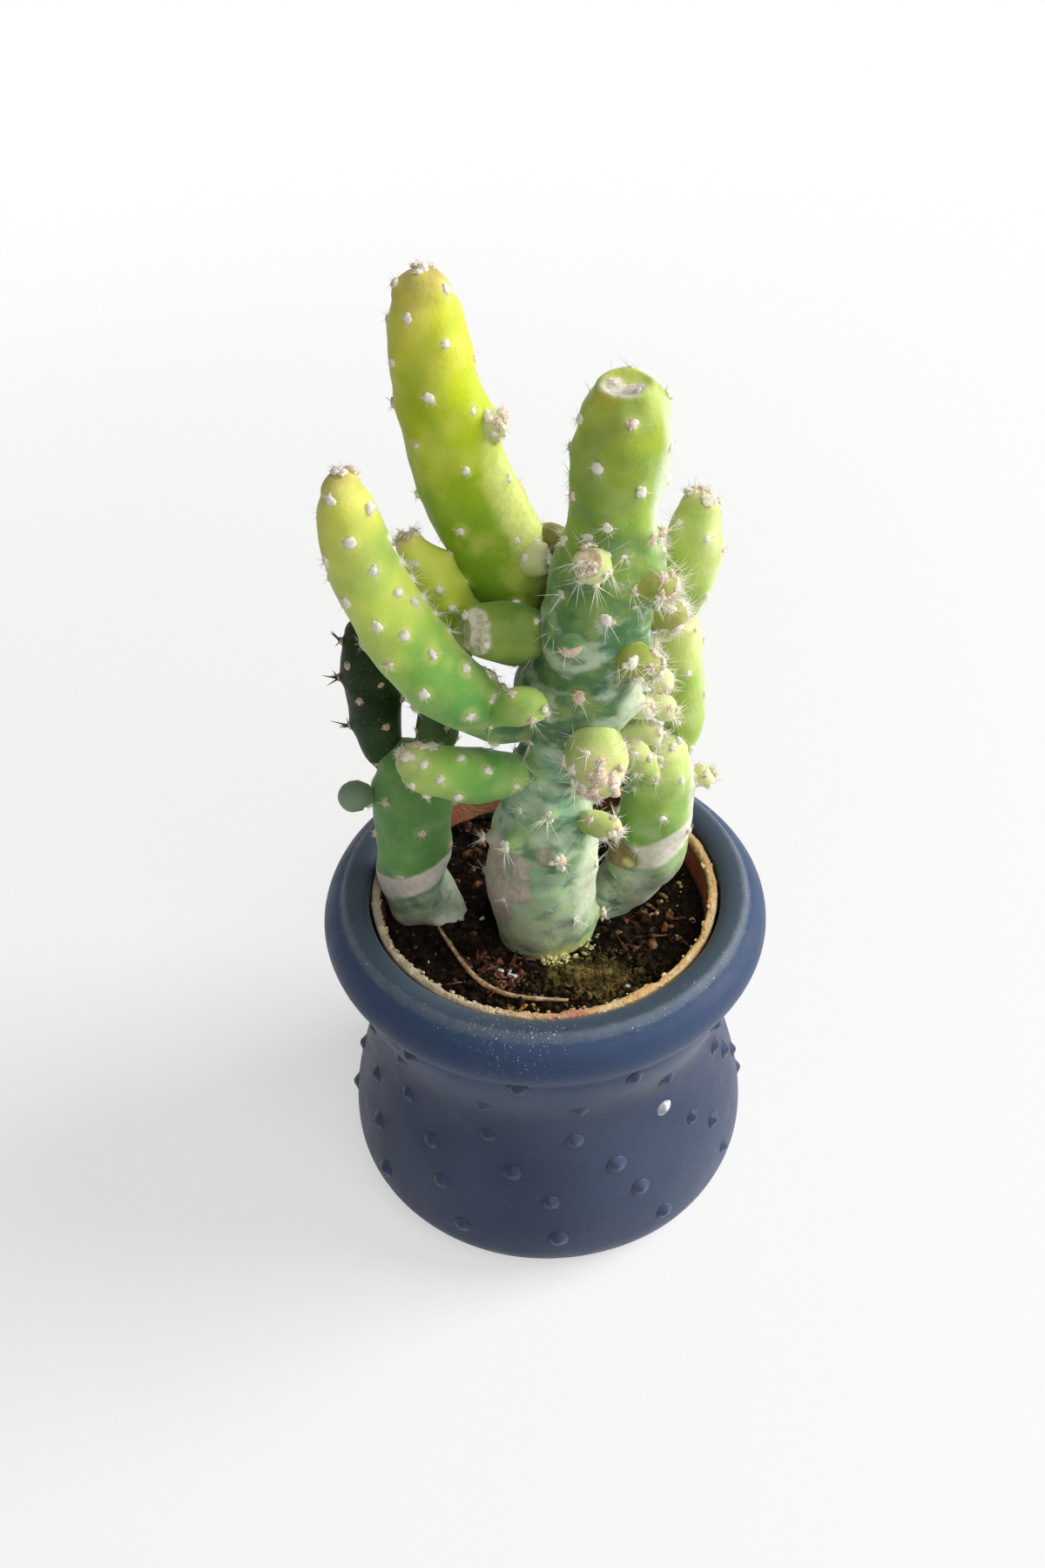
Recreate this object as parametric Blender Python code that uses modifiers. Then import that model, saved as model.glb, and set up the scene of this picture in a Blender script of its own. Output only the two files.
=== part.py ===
"""A potted opuntia: its stem segments and buds, the soil, a thin nursery pot and a collared cover pot.

The origin is at the centre of the cover pot's base, with +Z up and -Y to the front.
Sizes below are in millimetres; scene units are metres.
"""

import math

import bpy
import bmesh
from mathutils import Vector, noise

MM = 0.001
GAP = 0.3  # clearance between neighbouring pieces
TURN_STEPS = 40

# Cover pot: a rolled collar over a waist and a wide low belly
POT_HEIGHT = 69.5
COLLAR_RADIUS = 41.6
COLLAR_ROLL = 6.7
MOUTH_RADIUS = 33.0
WAIST_RADIUS = 34.2
WAIST_HEIGHT = 41.0
BELLY_RADIUS = 39.9
BELLY_HEIGHT = 9.0
BASE_RADIUS = 30.5
POT_FLOOR = 6.0
POT_WALL = 3.0
FLOOR_CORNER = 4.0  # how far the inside corner between wall and floor is cut
LIP_DROP = 1.2  # from the collar's top to its inner edge
MOUTH_DROP = 5.5  # from the collar's top to where the mouth begins to narrow

# Nursery pot: thin tapered cup standing on the cover pot's floor
LINER_RIM_RADIUS = 32.5
LINER_FOOT_RADIUS = 23.0
LINER_TOP = 68.2
LINER_WALL = 1.4
LINER_LIP = 0.5  # the rim's rounding
DRAIN_RADIUS = 4.0

# Soil
SOIL_LEVEL = 62.0
SOIL_WAVE = 1.3  # how far its surface rises and falls
SOIL_LUMP = 9.0  # the size of its lumps
STRAW_RADIUS = 0.4

RING_SPACING = 3.0  # along the stems
DOME_LIFT = 0.9  # a round tip's height, as a share of its radius
DOME_ANGLES = (30, 58, 78)

# Centrelines: (x, y, z, radius) from the root end to the tip
TRUNK = (
    (0.5, -4.0, 50.0, 4.7),
    (0.5, -4.0, 58.5, 8.2),
    (0.0, -4.0, 67.0, 9.9),
    (-0.5, -4.0, 76.0, 10.3),
    (0.5, -5.0, 89.0, 8.9),
    (1.5, -5.0, 101.5, 6.3),
    (5.0, -6.0, 110.5, 7.6),
    (7.5, -6.0, 123.0, 8.9),
    (10.0, -6.0, 143.0, 7.9),
    (11.0, -6.0, 150.0, 6.8),
    (12.5, -5.5, 163.0, 7.1),
    (13.0, -5.0, 169.5, 6.0),
    (13.0, -5.0, 172.5, 3.2),
)
TALL_STEM = (
    (-1.0, 3.0, 121.5, 4.4),
    (-4.5, 5.0, 135.0, 7.4),
    (-10.5, 6.0, 150.0, 7.9),
    (-14.5, 7.0, 166.0, 6.6),
    (-15.5, 7.0, 177.0, 5.9),
    (-16.0, 7.0, 181.0, 4.7),
)
LEFT_ARM = (
    (-1.0, -7.5, 111.0, 2.3),
    (-7.0, -9.0, 114.5, 4.2),
    (-11.5, -10.0, 119.5, 5.4),
    (-16.5, -11.0, 126.0, 6.0),
    (-21.0, -11.0, 133.0, 5.9),
    (-26.5, -11.0, 146.0, 5.3),
    (-28.0, -11.0, 156.0, 4.4),
    (-28.5, -11.0, 159.5, 3.5),
)
BACK_STEM = (
    (-20.0, 5.0, 90.5, 2.7),
    (-19.5, 5.0, 95.5, 3.4),
    (-16.5, 3.0, 112.5, 3.7),
    (-14.0, 2.0, 123.5, 2.6),
)
BACK_FINGER = (
    (-13.0, 2.0, 124.5, 2.6),
    (-13.5, 1.5, 127.5, 3.7),
    (-15.0, 1.0, 133.0, 4.2),
    (-17.0, 1.0, 137.5, 3.9),
    (-20.0, 1.0, 142.5, 2.2),
)
DARK_STEM = (
    (-26.5, 5.5, 91.0, 1.9),
    (-27.5, 6.0, 94.5, 2.2),
    (-28.5, 6.0, 99.5, 3.9),
    (-29.0, 6.0, 115.5, 4.9),
    (-30.0, 6.0, 123.0, 2.6),
)
LEFT_BASE_STEM = (
    (-17.5, 0.5, 52.0, 3.0),
    (-20.0, 1.0, 58.5, 4.7),
    (-22.0, 2.0, 63.5, 6.5),
    (-24.0, 2.0, 69.0, 6.7),
    (-23.5, 3.0, 83.5, 7.1),
    (-23.5, 3.0, 91.5, 6.7),
    (-24.0, 3.5, 96.0, 5.1),
)
CUT_STUB = (
    (2.0, -6.0, 130.0, 2.8),
    (-3.0, -6.0, 130.0, 4.9),
    (-10.0, -6.0, 131.0, 4.3),
    (-12.0, -6.5, 131.5, 3.2),
)
SIDE_PUP = (
    (-1.0, -7.5, 103.0, 1.8),
    (-9.0, -10.0, 104.0, 4.4),
    (-12.0, -10.5, 104.5, 4.8),
    (-19.5, -12.0, 107.5, 3.9),
    (-21.5, -12.0, 109.0, 2.9),
)
FRONT_PUP = (
    (7.5, -8.0, 111.5, 3.5),
    (9.0, -11.0, 112.0, 4.4),
    (8.5, -14.0, 112.0, 5.1),
    (8.5, -17.0, 111.5, 4.9),
    (8.5, -19.0, 110.5, 3.8),
)
LOW_PUP = (
    (5.5, -9.5, 93.5, 1.8),
    (9.5, -12.0, 94.0, 2.7),
    (11.5, -13.0, 94.0, 2.1),
)
RIGHT_BASE_STEM = (
    (9.5, 0.5, 57.0, 3.0),
    (13.5, 2.0, 64.5, 5.1),
    (17.0, 3.0, 68.0, 6.1),
    (20.0, 4.0, 74.5, 6.7),
    (21.0, 5.0, 83.5, 6.7),
    (21.5, 5.0, 91.5, 5.8),
    (22.0, 5.0, 96.0, 4.0),
)
RIGHT_MID_STEM = (
    (25.0, 7.5, 93.0, 1.9),
    (25.5, 8.0, 96.0, 2.3),
    (25.5, 8.0, 101.5, 3.6),
    (24.0, 8.0, 120.0, 3.5),
    (24.5, 8.0, 123.5, 2.5),
)
RIGHT_TOP_STEM = (
    (24.5, 8.0, 123.0, 2.1),
    (25.5, 8.0, 132.5, 4.3),
    (25.5, 8.0, 139.0, 4.4),
    (26.0, 8.0, 143.5, 3.3),
)
LEFT_ARM_PUP = (
    (-8.0, -11.5, 118.0, 1.7),
    (-4.5, -14.0, 121.5, 3.0),
    (-2.0, -15.0, 122.5, 2.9),
    (-1.0, -15.0, 122.0, 2.2),
)
ROUND_PUP = (
    (-29.5, 1.5, 89.0, 0.9),
    (-31.0, 1.0, 90.0, 1.2),
    (-32.5, 0.5, 91.5, 2.6),
    (-34.0, 0.0, 91.5, 2.6),
)
RIGHT_NUB = (
    (26.0, 6.0, 88.5, 0.9),
    (28.0, 6.0, 88.5, 1.3),
    (29.5, 6.0, 89.0, 1.7),
)
TALL_STEM_BUD = (
    (-9.0, 5.0, 158.5, 1.9),
    (-7.0, 4.5, 160.5, 2.1),
    (-5.5, 4.0, 162.0, 1.7),
)
TALL_STEM_STUB = (
    (-4.5, 3.0, 137.0, 2.0),
    (-0.5, 0.0, 140.0, 2.5),
    (1.0, -0.5, 140.5, 2.1),
)
BACK_BUD = (
    (4.5, 0.5, 140.5, 2.1),
    (3.0, 3.5, 141.0, 2.1),
    (2.0, 5.5, 141.0, 1.7),
)
CROWN_BUD = (
    (9.0, -11.5, 144.5, 2.1),
    (8.5, -14.0, 146.5, 2.7),
    (7.5, -16.0, 149.0, 2.4),
)
SCARRED_BUD = (
    (6.0, -12.0, 132.0, 2.2),
    (5.0, -14.0, 134.5, 2.7),
    (4.0, -16.0, 136.0, 2.2),
)
UPPER_RIGHT_BUD = (
    (13.0, -9.5, 142.5, 2.0),
    (16.0, -10.5, 142.5, 2.8),
    (18.5, -11.0, 142.0, 2.2),
)
MID_RIGHT_BUD = (
    (14.0, -6.0, 134.0, 1.6),
    (17.5, -6.0, 133.5, 2.2),
    (21.0, -6.0, 133.0, 2.1),
)
OLIVE_BUD = (
    (11.0, -11.0, 129.0, 2.2),
    (14.0, -13.0, 129.5, 2.7),
    (16.5, -13.0, 128.5, 2.2),
)
PALE_BUDS = (
    ((15.0, -6.0, 121.5, 1.0), (17.5, -6.0, 121.0, 1.3), (19.5, -6.0, 120.0, 1.8)),
    ((13.5, -7.0, 115.0, 1.0), (15.5, -8.0, 116.0, 1.4), (16.5, -9.0, 117.0, 1.7)),
    ((14.0, -4.5, 115.5, 1.0), (17.5, -5.0, 115.0, 1.3), (20.5, -5.0, 113.5, 2.0)),
    ((13.0, -6.0, 110.0, 1.0), (16.5, -6.0, 110.0, 1.2), (18.5, -6.0, 109.0, 1.8)),
)
LOBE_BUD = (
    (19.5, 1.5, 93.0, 1.7),
    (16.5, -1.0, 100.0, 2.3),
    (15.0, -2.0, 104.5, 2.1),
)
STRAW = (
    (-20.0, -5.0, 63.0),
    (-14.0, -16.5, 63.0),
    (-9.5, -21.0, 63.0),
    (-4.5, -23.0, 63.0),
    (3.5, -24.0, 63.0),
)


def clear_scene():
    for thing in list(bpy.data.objects):
        bpy.data.objects.remove(thing, do_unlink=True)


def new_collection(name, hidden=False):
    collection = bpy.data.collections.new(name)
    collection.hide_render = hidden
    bpy.context.scene.collection.children.link(collection)
    return collection


def make_material(name, colour, roughness):
    material = bpy.data.materials.new(name)
    material.use_nodes = True
    shader = material.node_tree.nodes["Principled BSDF"]
    shader.inputs["Base Color"].default_value = (*colour, 1.0)
    shader.inputs["Roughness"].default_value = roughness
    shader.inputs["Metallic"].default_value = 0.0
    return material


def add_mesh(name, mesh, collection, material=None):
    piece = bpy.data.objects.new(name, mesh)
    collection.objects.link(piece)
    if material:
        mesh.materials.append(material)
    return piece


def catmull(points, along):
    """The value at `along` on a smooth curve through tuples of numbers."""
    last = len(points) - 1
    span = min(int(along), last - 1)
    t = along - span
    a = points[max(span - 1, 0)]
    b = points[span]
    c = points[span + 1]
    d = points[min(span + 2, last)]
    return [
        0.5 * (2 * q + (r - p) * t + (2 * p - 5 * q + 4 * r - s) * t * t + (3 * q - p - 3 * r + s) * t**3)
        for p, q, r, s in zip(a, b, c, d)
    ]


def sampled(knots, spacing):
    """Points on the smooth curve through the knots, about `spacing` apart."""
    path = []
    for span in range(len(knots) - 1):
        chord = math.dist(knots[span][:3], knots[span + 1][:3])
        steps = max(1, round(chord / spacing))
        path += [catmull(knots, span + i / steps) for i in range(steps)]
    return [*path, knots[-1]]


def stem_path(knots, tip):
    """Points and radii along a stem, closed by a dome where the tip is round."""
    path = sampled(knots, RING_SPACING)
    if tip == "round":
        end = Vector(path[-1][:3])
        heading = (end - Vector(path[-2][:3])).normalized()
        radius = path[-1][3]
        for angle in DOME_ANGLES:
            lift = radius * DOME_LIFT * math.sin(math.radians(angle))
            path.append((*(end + heading * lift), radius * math.cos(math.radians(angle))))
    return path


def tube(name, path, collection, sides, extra=0.0, material=None):
    """A welded mesh tube along the path, with its radii made `extra` larger."""
    curve = bpy.data.curves.new(name, "CURVE")
    curve.dimensions = "3D"
    curve.bevel_depth = MM
    curve.bevel_resolution = sides // 2 - 2
    curve.use_fill_caps = True
    spline = curve.splines.new("POLY")
    spline.points.add(len(path) - 1)
    for point, (x, y, z, radius) in zip(spline.points, path):
        point.co = (x * MM, y * MM, z * MM, 1.0)
        point.radius = radius + extra
    source = bpy.data.objects.new(name, curve)
    collection.objects.link(source)
    graph = bpy.context.evaluated_depsgraph_get()
    mesh = bpy.data.meshes.new_from_object(source.evaluated_get(graph))
    placed = source.matrix_world.copy()
    bpy.data.objects.remove(source, do_unlink=True)
    bpy.data.curves.remove(curve)
    shape = bmesh.new()
    shape.from_mesh(mesh)
    bmesh.ops.remove_doubles(shape, verts=shape.verts, dist=0.02 * MM)
    bmesh.ops.recalc_face_normals(shape, faces=shape.faces)
    shape.to_mesh(mesh)
    shape.free()
    mesh.shade_smooth()
    mesh.set_sharp_from_angle(angle=math.radians(50))
    mesh.name = name
    piece = add_mesh(name, mesh, collection, material)
    piece.matrix_world = placed
    return piece


def lengthened(path, by):
    """The path with both ends moved out, so that a cutter reaches past the stem."""
    first = Vector(path[0][:3])
    second = Vector(path[1][:3])
    last = Vector(path[-1][:3])
    before = Vector(path[-2][:3])
    start = first + (first - second).normalized() * by
    end = last + (last - before).normalized() * by
    return [(*start, path[0][3]), *path[1:-1], (*end, path[-1][3])]


def cut(piece, cutter):
    boolean = piece.modifiers.new("clear_of_" + cutter.name, "BOOLEAN")
    boolean.operation = "DIFFERENCE"
    boolean.solver = "EXACT"
    boolean.object = cutter


def turned(name, profile, collection, material):
    """A shape turned round Z from (radius, height) points that run down its outer side."""
    mesh = bpy.data.meshes.new(name)
    shape = bmesh.new()
    corners = [shape.verts.new((radius * MM, 0.0, height * MM)) for radius, height in profile]
    for upper, lower in zip(corners, corners[1:]):
        shape.edges.new((upper, lower))
    if profile[0][0] > 0:
        shape.edges.new((corners[-1], corners[0]))
    shape.to_mesh(mesh)
    shape.free()
    piece = add_mesh(name, mesh, collection, material)
    screw = piece.modifiers.new("turn", "SCREW")
    screw.steps = TURN_STEPS
    screw.render_steps = TURN_STEPS
    screw.use_merge_vertices = True
    screw.merge_threshold = 0.00001
    screw.use_smooth_shade = True
    return piece


def arc(centre, radius, start, end, steps):
    """Points on an arc in the (radius, height) plane; angles in degrees, counted from outward."""
    points = []
    for i in range(steps + 1):
        angle = math.radians(start + (end - start) * i / steps)
        points.append((centre[0] + radius * math.cos(angle), centre[1] + radius * math.sin(angle)))
    return points


def eased(start, end, steps):
    """Points on an S curve between two (radius, height) points, without the first."""
    points = []
    for i in range(1, steps + 1):
        t = i / steps
        bend = t * t * (3 - 2 * t)
        points.append((start[0] + (end[0] - start[0]) * bend, start[1] + (end[1] - start[1]) * t))
    return points


def base_curve(steps):
    """The quarter oval from the belly to the flat base, without its first point."""
    points = []
    for i in range(1, steps + 1):
        angle = math.radians(90 * i / steps)
        radius = BASE_RADIUS + (BELLY_RADIUS - BASE_RADIUS) * math.cos(angle)
        points.append((radius, BELLY_HEIGHT * (1 - math.sin(angle))))
    return points


def make_outer_pot(collection):
    roll = (COLLAR_RADIUS - COLLAR_ROLL, POT_HEIGHT - COLLAR_ROLL)
    waist = (WAIST_RADIUS, WAIST_HEIGHT)
    belly = (BELLY_RADIUS, BELLY_HEIGHT)
    outside = arc(roll, COLLAR_ROLL, 105, -50, 9)
    outside += eased(outside[-1], waist, 4)
    outside += eased(waist, belly, 6)
    outside += base_curve(5)
    inner_belly = (BELLY_RADIUS - POT_WALL, BELLY_HEIGHT)
    inside = [(0.0, POT_FLOOR), (inner_belly[0] - FLOOR_CORNER, POT_FLOOR), inner_belly]
    inside += eased(inner_belly, (WAIST_RADIUS - POT_WALL, WAIST_HEIGHT), 4)
    inside += [(MOUTH_RADIUS, POT_HEIGHT - MOUTH_DROP), (MOUTH_RADIUS, POT_HEIGHT - LIP_DROP)]
    clay = make_material("cover_pot_glaze", (0.055, 0.075, 0.13), 0.55)
    return turned("outer_pot", inside + outside + [(0.0, 0.0)], collection, clay)


def liner_radius(height):
    """The nursery pot's outer radius at a height."""
    foot = POT_FLOOR + GAP
    share = (height - foot) / (LINER_TOP - foot)
    return LINER_FOOT_RADIUS + (LINER_RIM_RADIUS - LINER_FOOT_RADIUS) * share


def make_inner_pot(collection):
    foot = POT_FLOOR + GAP
    floor = foot + LINER_WALL
    rim = LINER_TOP - LINER_LIP
    profile = [
        (DRAIN_RADIUS, floor),
        (liner_radius(floor) - LINER_WALL, floor),
        (liner_radius(rim) - LINER_WALL, rim),
        (liner_radius(rim) - LINER_WALL + LINER_LIP, LINER_TOP),
        (liner_radius(rim) - LINER_LIP, LINER_TOP),
        (liner_radius(rim), rim),
        (liner_radius(foot), foot),
        (DRAIN_RADIUS, foot),
    ]
    plastic = make_material("nursery_pot_plastic", (0.62, 0.36, 0.16), 0.7)
    return turned("inner_pot", profile, collection, plastic)


def make_soil(collection):
    """A turned plug whose top is roughened ring by ring."""
    bottom = POT_FLOOR + GAP + LINER_WALL + GAP
    edge = liner_radius(SOIL_LEVEL) - LINER_WALL - GAP
    foot = liner_radius(bottom) - LINER_WALL - GAP
    rings = [(edge * share, SOIL_LEVEL) for share in (0.0, 0.25, 0.5, 0.75, 1.0)]
    peat = make_material("peat", (0.035, 0.022, 0.014), 0.95)
    source = turned("soil_turned", [*rings, (foot, bottom), (0.0, bottom)], collection, None)
    graph = bpy.context.evaluated_depsgraph_get()
    mesh = bpy.data.meshes.new_from_object(source.evaluated_get(graph))
    bpy.data.objects.remove(source, do_unlink=True)
    shape = bmesh.new()
    shape.from_mesh(mesh)
    for corner in shape.verts:
        if corner.co.z > (SOIL_LEVEL - 1) * MM:
            wave = noise.noise(corner.co / (SOIL_LUMP * MM))
            corner.co.z += SOIL_WAVE * MM * wave
    shape.to_mesh(mesh)
    shape.free()
    return add_mesh("soil", mesh, collection, peat)


def make_straw(collection):
    dry = make_material("dry_grass", (0.6, 0.45, 0.25), 0.8)
    path = [(*point, STRAW_RADIUS) for point in sampled(STRAW, 1.6)]
    return tube("straw", path, collection, 8, 0.0, dry)


class Plant:
    """Makes the stems, and cuts each one clear of those it grows from."""

    def __init__(self, collection, cutters):
        self.collection = collection
        self.cutters = cutters
        self.paths = {}
        self.cutter_of = {}

    def stem(self, name, knots, colour, sides=12, tip="round", clear_of=()):
        path = stem_path(knots, tip)
        self.paths[name] = (path, sides)
        skin = make_material(name + "_skin", colour, 0.45)
        piece = tube(name, path, self.collection, sides, 0.0, skin)
        for other in clear_of:
            cut(piece, self.cutter(other))
        return piece

    def cutter(self, name):
        if name not in self.cutter_of:
            path, sides = self.paths[name]
            made = tube(name + "_cutter", lengthened(path, GAP), self.cutters, sides, GAP)
            made.display_type = "WIRE"
            made.hide_render = True
            self.cutter_of[name] = made
        return self.cutter_of[name]


YOUNG_GREEN = (0.34, 0.50, 0.06)
FRESH_GREEN = (0.22, 0.42, 0.07)
WAXY_GREEN = (0.16, 0.32, 0.17)
DEEP_GREEN = (0.08, 0.20, 0.06)
BUD_GREEN = (0.42, 0.50, 0.14)


def make_plant(collection, cutters):
    plant = Plant(collection, cutters)
    stem = plant.stem
    stem("trunk", TRUNK, WAXY_GREEN, sides=16, tip="cut")
    stem("tall_stem", TALL_STEM, YOUNG_GREEN, sides=16, clear_of=["trunk"])
    stem("left_arm", LEFT_ARM, YOUNG_GREEN, sides=14, clear_of=["trunk"])
    stem("left_base_stem", LEFT_BASE_STEM, WAXY_GREEN, sides=16, clear_of=["trunk"])
    stem("back_stem", BACK_STEM, DEEP_GREEN, clear_of=["left_base_stem"])
    stem("back_finger", BACK_FINGER, YOUNG_GREEN, clear_of=["back_stem", "tall_stem"])
    stem("dark_stem", DARK_STEM, DEEP_GREEN, clear_of=["left_base_stem"])
    stem("cut_stub", CUT_STUB, FRESH_GREEN, tip="cut", clear_of=["trunk", "tall_stem", "back_finger", "left_arm"])
    stem("side_pup", SIDE_PUP, FRESH_GREEN, clear_of=["trunk"])
    stem("front_pup", FRONT_PUP, BUD_GREEN, clear_of=["trunk"])
    stem("low_pup", LOW_PUP, BUD_GREEN, sides=8, clear_of=["trunk"])
    stem("right_base_stem", RIGHT_BASE_STEM, FRESH_GREEN, sides=16, clear_of=["trunk"])
    stem("right_mid_stem", RIGHT_MID_STEM, FRESH_GREEN, clear_of=["right_base_stem"])
    stem("right_top_stem", RIGHT_TOP_STEM, FRESH_GREEN, clear_of=["right_mid_stem"])
    stem("left_arm_pup", LEFT_ARM_PUP, BUD_GREEN, sides=10, clear_of=["left_arm", "trunk"])
    stem("round_pup", ROUND_PUP, WAXY_GREEN, sides=10, clear_of=["left_base_stem"])
    stem("right_nub", RIGHT_NUB, BUD_GREEN, sides=8, clear_of=["right_base_stem"])
    stem("lobe_bud", LOBE_BUD, BUD_GREEN, sides=8, clear_of=["right_base_stem"])
    stem("tall_stem_bud", TALL_STEM_BUD, BUD_GREEN, sides=8, clear_of=["tall_stem"])
    stem("tall_stem_stub", TALL_STEM_STUB, BUD_GREEN, sides=8, tip="cut", clear_of=["tall_stem", "trunk"])
    stem("back_bud", BACK_BUD, BUD_GREEN, sides=8, clear_of=["trunk", "tall_stem"])
    stem("crown_bud", CROWN_BUD, BUD_GREEN, sides=10, clear_of=["trunk"])
    stem("scarred_bud", SCARRED_BUD, WAXY_GREEN, sides=10, tip="cut", clear_of=["trunk"])
    stem("upper_right_bud", UPPER_RIGHT_BUD, BUD_GREEN, sides=8, clear_of=["trunk"])
    stem("mid_right_bud", MID_RIGHT_BUD, BUD_GREEN, sides=8, clear_of=["trunk"])
    stem("olive_bud", OLIVE_BUD, BUD_GREEN, sides=8, clear_of=["trunk"])
    for number, knots in enumerate(PALE_BUDS, 1):
        stem(f"pale_bud_{number}", knots, BUD_GREEN, sides=8, clear_of=["trunk"])
    return plant


def main():
    clear_scene()
    parts = new_collection("potted_opuntia")
    cutters = new_collection("cutters", hidden=True)
    make_outer_pot(parts)
    make_inner_pot(parts)
    plant = make_plant(parts, cutters)
    soil = make_soil(parts)
    for rooted in ("trunk", "left_base_stem", "right_base_stem"):
        cut(soil, plant.cutter(rooted))
    make_straw(parts)


main()
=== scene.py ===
import math
import random

import bpy
import bmesh
from mathutils import Matrix, Vector, noise


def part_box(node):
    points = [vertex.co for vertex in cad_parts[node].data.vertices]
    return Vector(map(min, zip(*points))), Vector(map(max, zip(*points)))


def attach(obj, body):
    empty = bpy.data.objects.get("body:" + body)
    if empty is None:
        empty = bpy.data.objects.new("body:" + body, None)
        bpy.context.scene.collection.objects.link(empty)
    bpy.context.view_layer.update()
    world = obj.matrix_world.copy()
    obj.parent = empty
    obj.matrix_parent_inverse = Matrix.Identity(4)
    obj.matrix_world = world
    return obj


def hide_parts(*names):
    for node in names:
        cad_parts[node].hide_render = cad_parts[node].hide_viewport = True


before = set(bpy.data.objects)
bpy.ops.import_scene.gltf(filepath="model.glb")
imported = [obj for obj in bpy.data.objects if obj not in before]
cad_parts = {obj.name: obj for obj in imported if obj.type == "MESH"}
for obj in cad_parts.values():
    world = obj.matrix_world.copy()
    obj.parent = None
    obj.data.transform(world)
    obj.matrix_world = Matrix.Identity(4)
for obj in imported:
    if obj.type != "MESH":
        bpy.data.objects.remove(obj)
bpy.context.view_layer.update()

# A potted opuntia. Lengths are in millimetres until a mesh is written, in metres.
# The origin is at the centre of the cover pot's base, with +Z up and -Y to the front.
MM = 0.001
TURN = 2 * math.pi
GOLDEN_ANGLE = 137.5

_, pot_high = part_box("outer_pot")
liner_low, liner_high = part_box("inner_pot")
soil_low, soil_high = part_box("soil")
POT_HEIGHT = pot_high.z / MM
COLLAR_RADIUS = pot_high.x / MM
LINER_TOP = liner_high.z / MM
LINER_FOOT = liner_low.z / MM
LINER_RIM_RADIUS = liner_high.x / MM
LINER_FOOT_RADIUS = 23.0
LINER_WALL = 1.4
RIM_THICKNESS = 1.7
DRAIN_RADIUS = 4.0
LINER_SIDES = 240
CRUST_FLAKES = 420
SOIL_LEVEL = 62.0
SOIL_RADIUS = soil_high.x / MM
SOIL_FOOT = soil_low.z / MM

# Cover pot: landmarks of its outline
MOUTH_RADIUS = 33.0
CREST_RADIUS = 37.6
WAIST_RADIUS = 34.2
WAIST_HEIGHT = 41.0
BELLY_RADIUS = 39.9
BELLY_HEIGHT = 9.0
BASE_RADIUS = 30.5
POT_FLOOR = 6.0
POT_WALL = 3.0
POT_SIDES = 144
COLLAR_ROLL = 5.6  # radius of the collar's rolled edge
ROLL_DROP = 0.95  # from the collar's highest line down to the top of that roll

RING_SPACING = 0.7  # between rings of a stem's skin

# Centrelines: (x, y, z, radius) from the root end to the tip
TRUNK = (
    (0.5, -4.0, 50.0, 4.7),
    (0.5, -4.0, 58.5, 8.2),
    (0.0, -4.0, 67.0, 9.9),
    (-0.5, -4.0, 76.0, 10.3),
    (0.5, -5.0, 89.0, 8.9),
    (1.5, -5.0, 101.5, 6.3),
    (5.0, -6.0, 110.5, 7.6),
    (7.5, -6.0, 123.0, 8.9),
    (10.0, -6.0, 143.0, 7.9),
    (11.0, -6.0, 150.0, 6.8),
    (12.5, -5.5, 163.0, 7.1),
    (13.0, -5.0, 169.0, 6.2),
    (13.0, -5.0, 171.6, 4.4),
)
TALL_STEM = (
    (-1.0, 3.0, 121.5, 4.4),
    (-4.5, 5.0, 135.0, 7.4),
    (-10.8, 6.0, 150.0, 7.4),
    (-14.5, 7.0, 165.0, 6.5),
    (-15.5, 7.0, 175.0, 5.9),
    (-16.0, 7.0, 181.0, 4.2),
)
LEFT_ARM = (
    (-1.0, -7.5, 112.0, 2.1),
    (-7.0, -9.0, 115.2, 3.8),
    (-11.5, -10.0, 119.8, 5.3),
    (-16.5, -11.0, 126.0, 6.0),
    (-21.0, -11.0, 133.0, 5.9),
    (-26.5, -11.0, 146.0, 5.3),
    (-28.0, -11.0, 156.0, 4.3),
    (-28.5, -11.0, 160.0, 2.9),
)
BACK_STEM = (
    (-20.0, 5.0, 90.5, 2.7),
    (-19.5, 5.0, 95.5, 3.4),
    (-16.5, 3.0, 112.5, 3.7),
    (-14.0, 2.0, 123.5, 2.6),
)
BACK_FINGER = (
    (-13.0, 2.0, 124.5, 2.6),
    (-13.5, 1.5, 127.5, 3.7),
    (-15.0, 1.0, 133.0, 4.2),
    (-17.0, 1.0, 137.5, 3.9),
    (-20.0, 1.0, 142.5, 2.2),
)
DARK_STEM = (
    (-26.5, 5.5, 91.0, 1.9),
    (-27.5, 6.0, 94.5, 2.2),
    (-28.5, 6.0, 99.5, 3.9),
    (-29.0, 6.0, 115.5, 4.9),
    (-30.0, 6.0, 123.0, 2.6),
)
LEFT_BASE_STEM = (
    (-17.5, 0.5, 52.0, 3.0),
    (-20.0, 1.0, 58.5, 4.7),
    (-22.0, 2.0, 63.5, 6.5),
    (-24.0, 2.0, 69.0, 6.7),
    (-23.5, 3.0, 83.5, 7.1),
    (-23.5, 3.0, 91.5, 6.7),
    (-24.0, 3.5, 96.0, 5.1),
)
CUT_STUB = (
    (2.0, -6.0, 130.0, 2.8),
    (-3.0, -6.0, 130.0, 4.9),
    (-10.0, -6.0, 131.0, 4.3),
    (-12.0, -6.5, 131.5, 3.2),
)
SIDE_PUP = (
    (-1.0, -7.5, 103.0, 1.8),
    (-5.0, -8.7, 103.5, 3.5),
    (-9.0, -10.0, 104.0, 4.4),
    (-12.0, -10.5, 104.5, 4.8),
    (-19.5, -12.0, 107.5, 3.9),
    (-21.5, -12.0, 109.0, 2.9),
)
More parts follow.
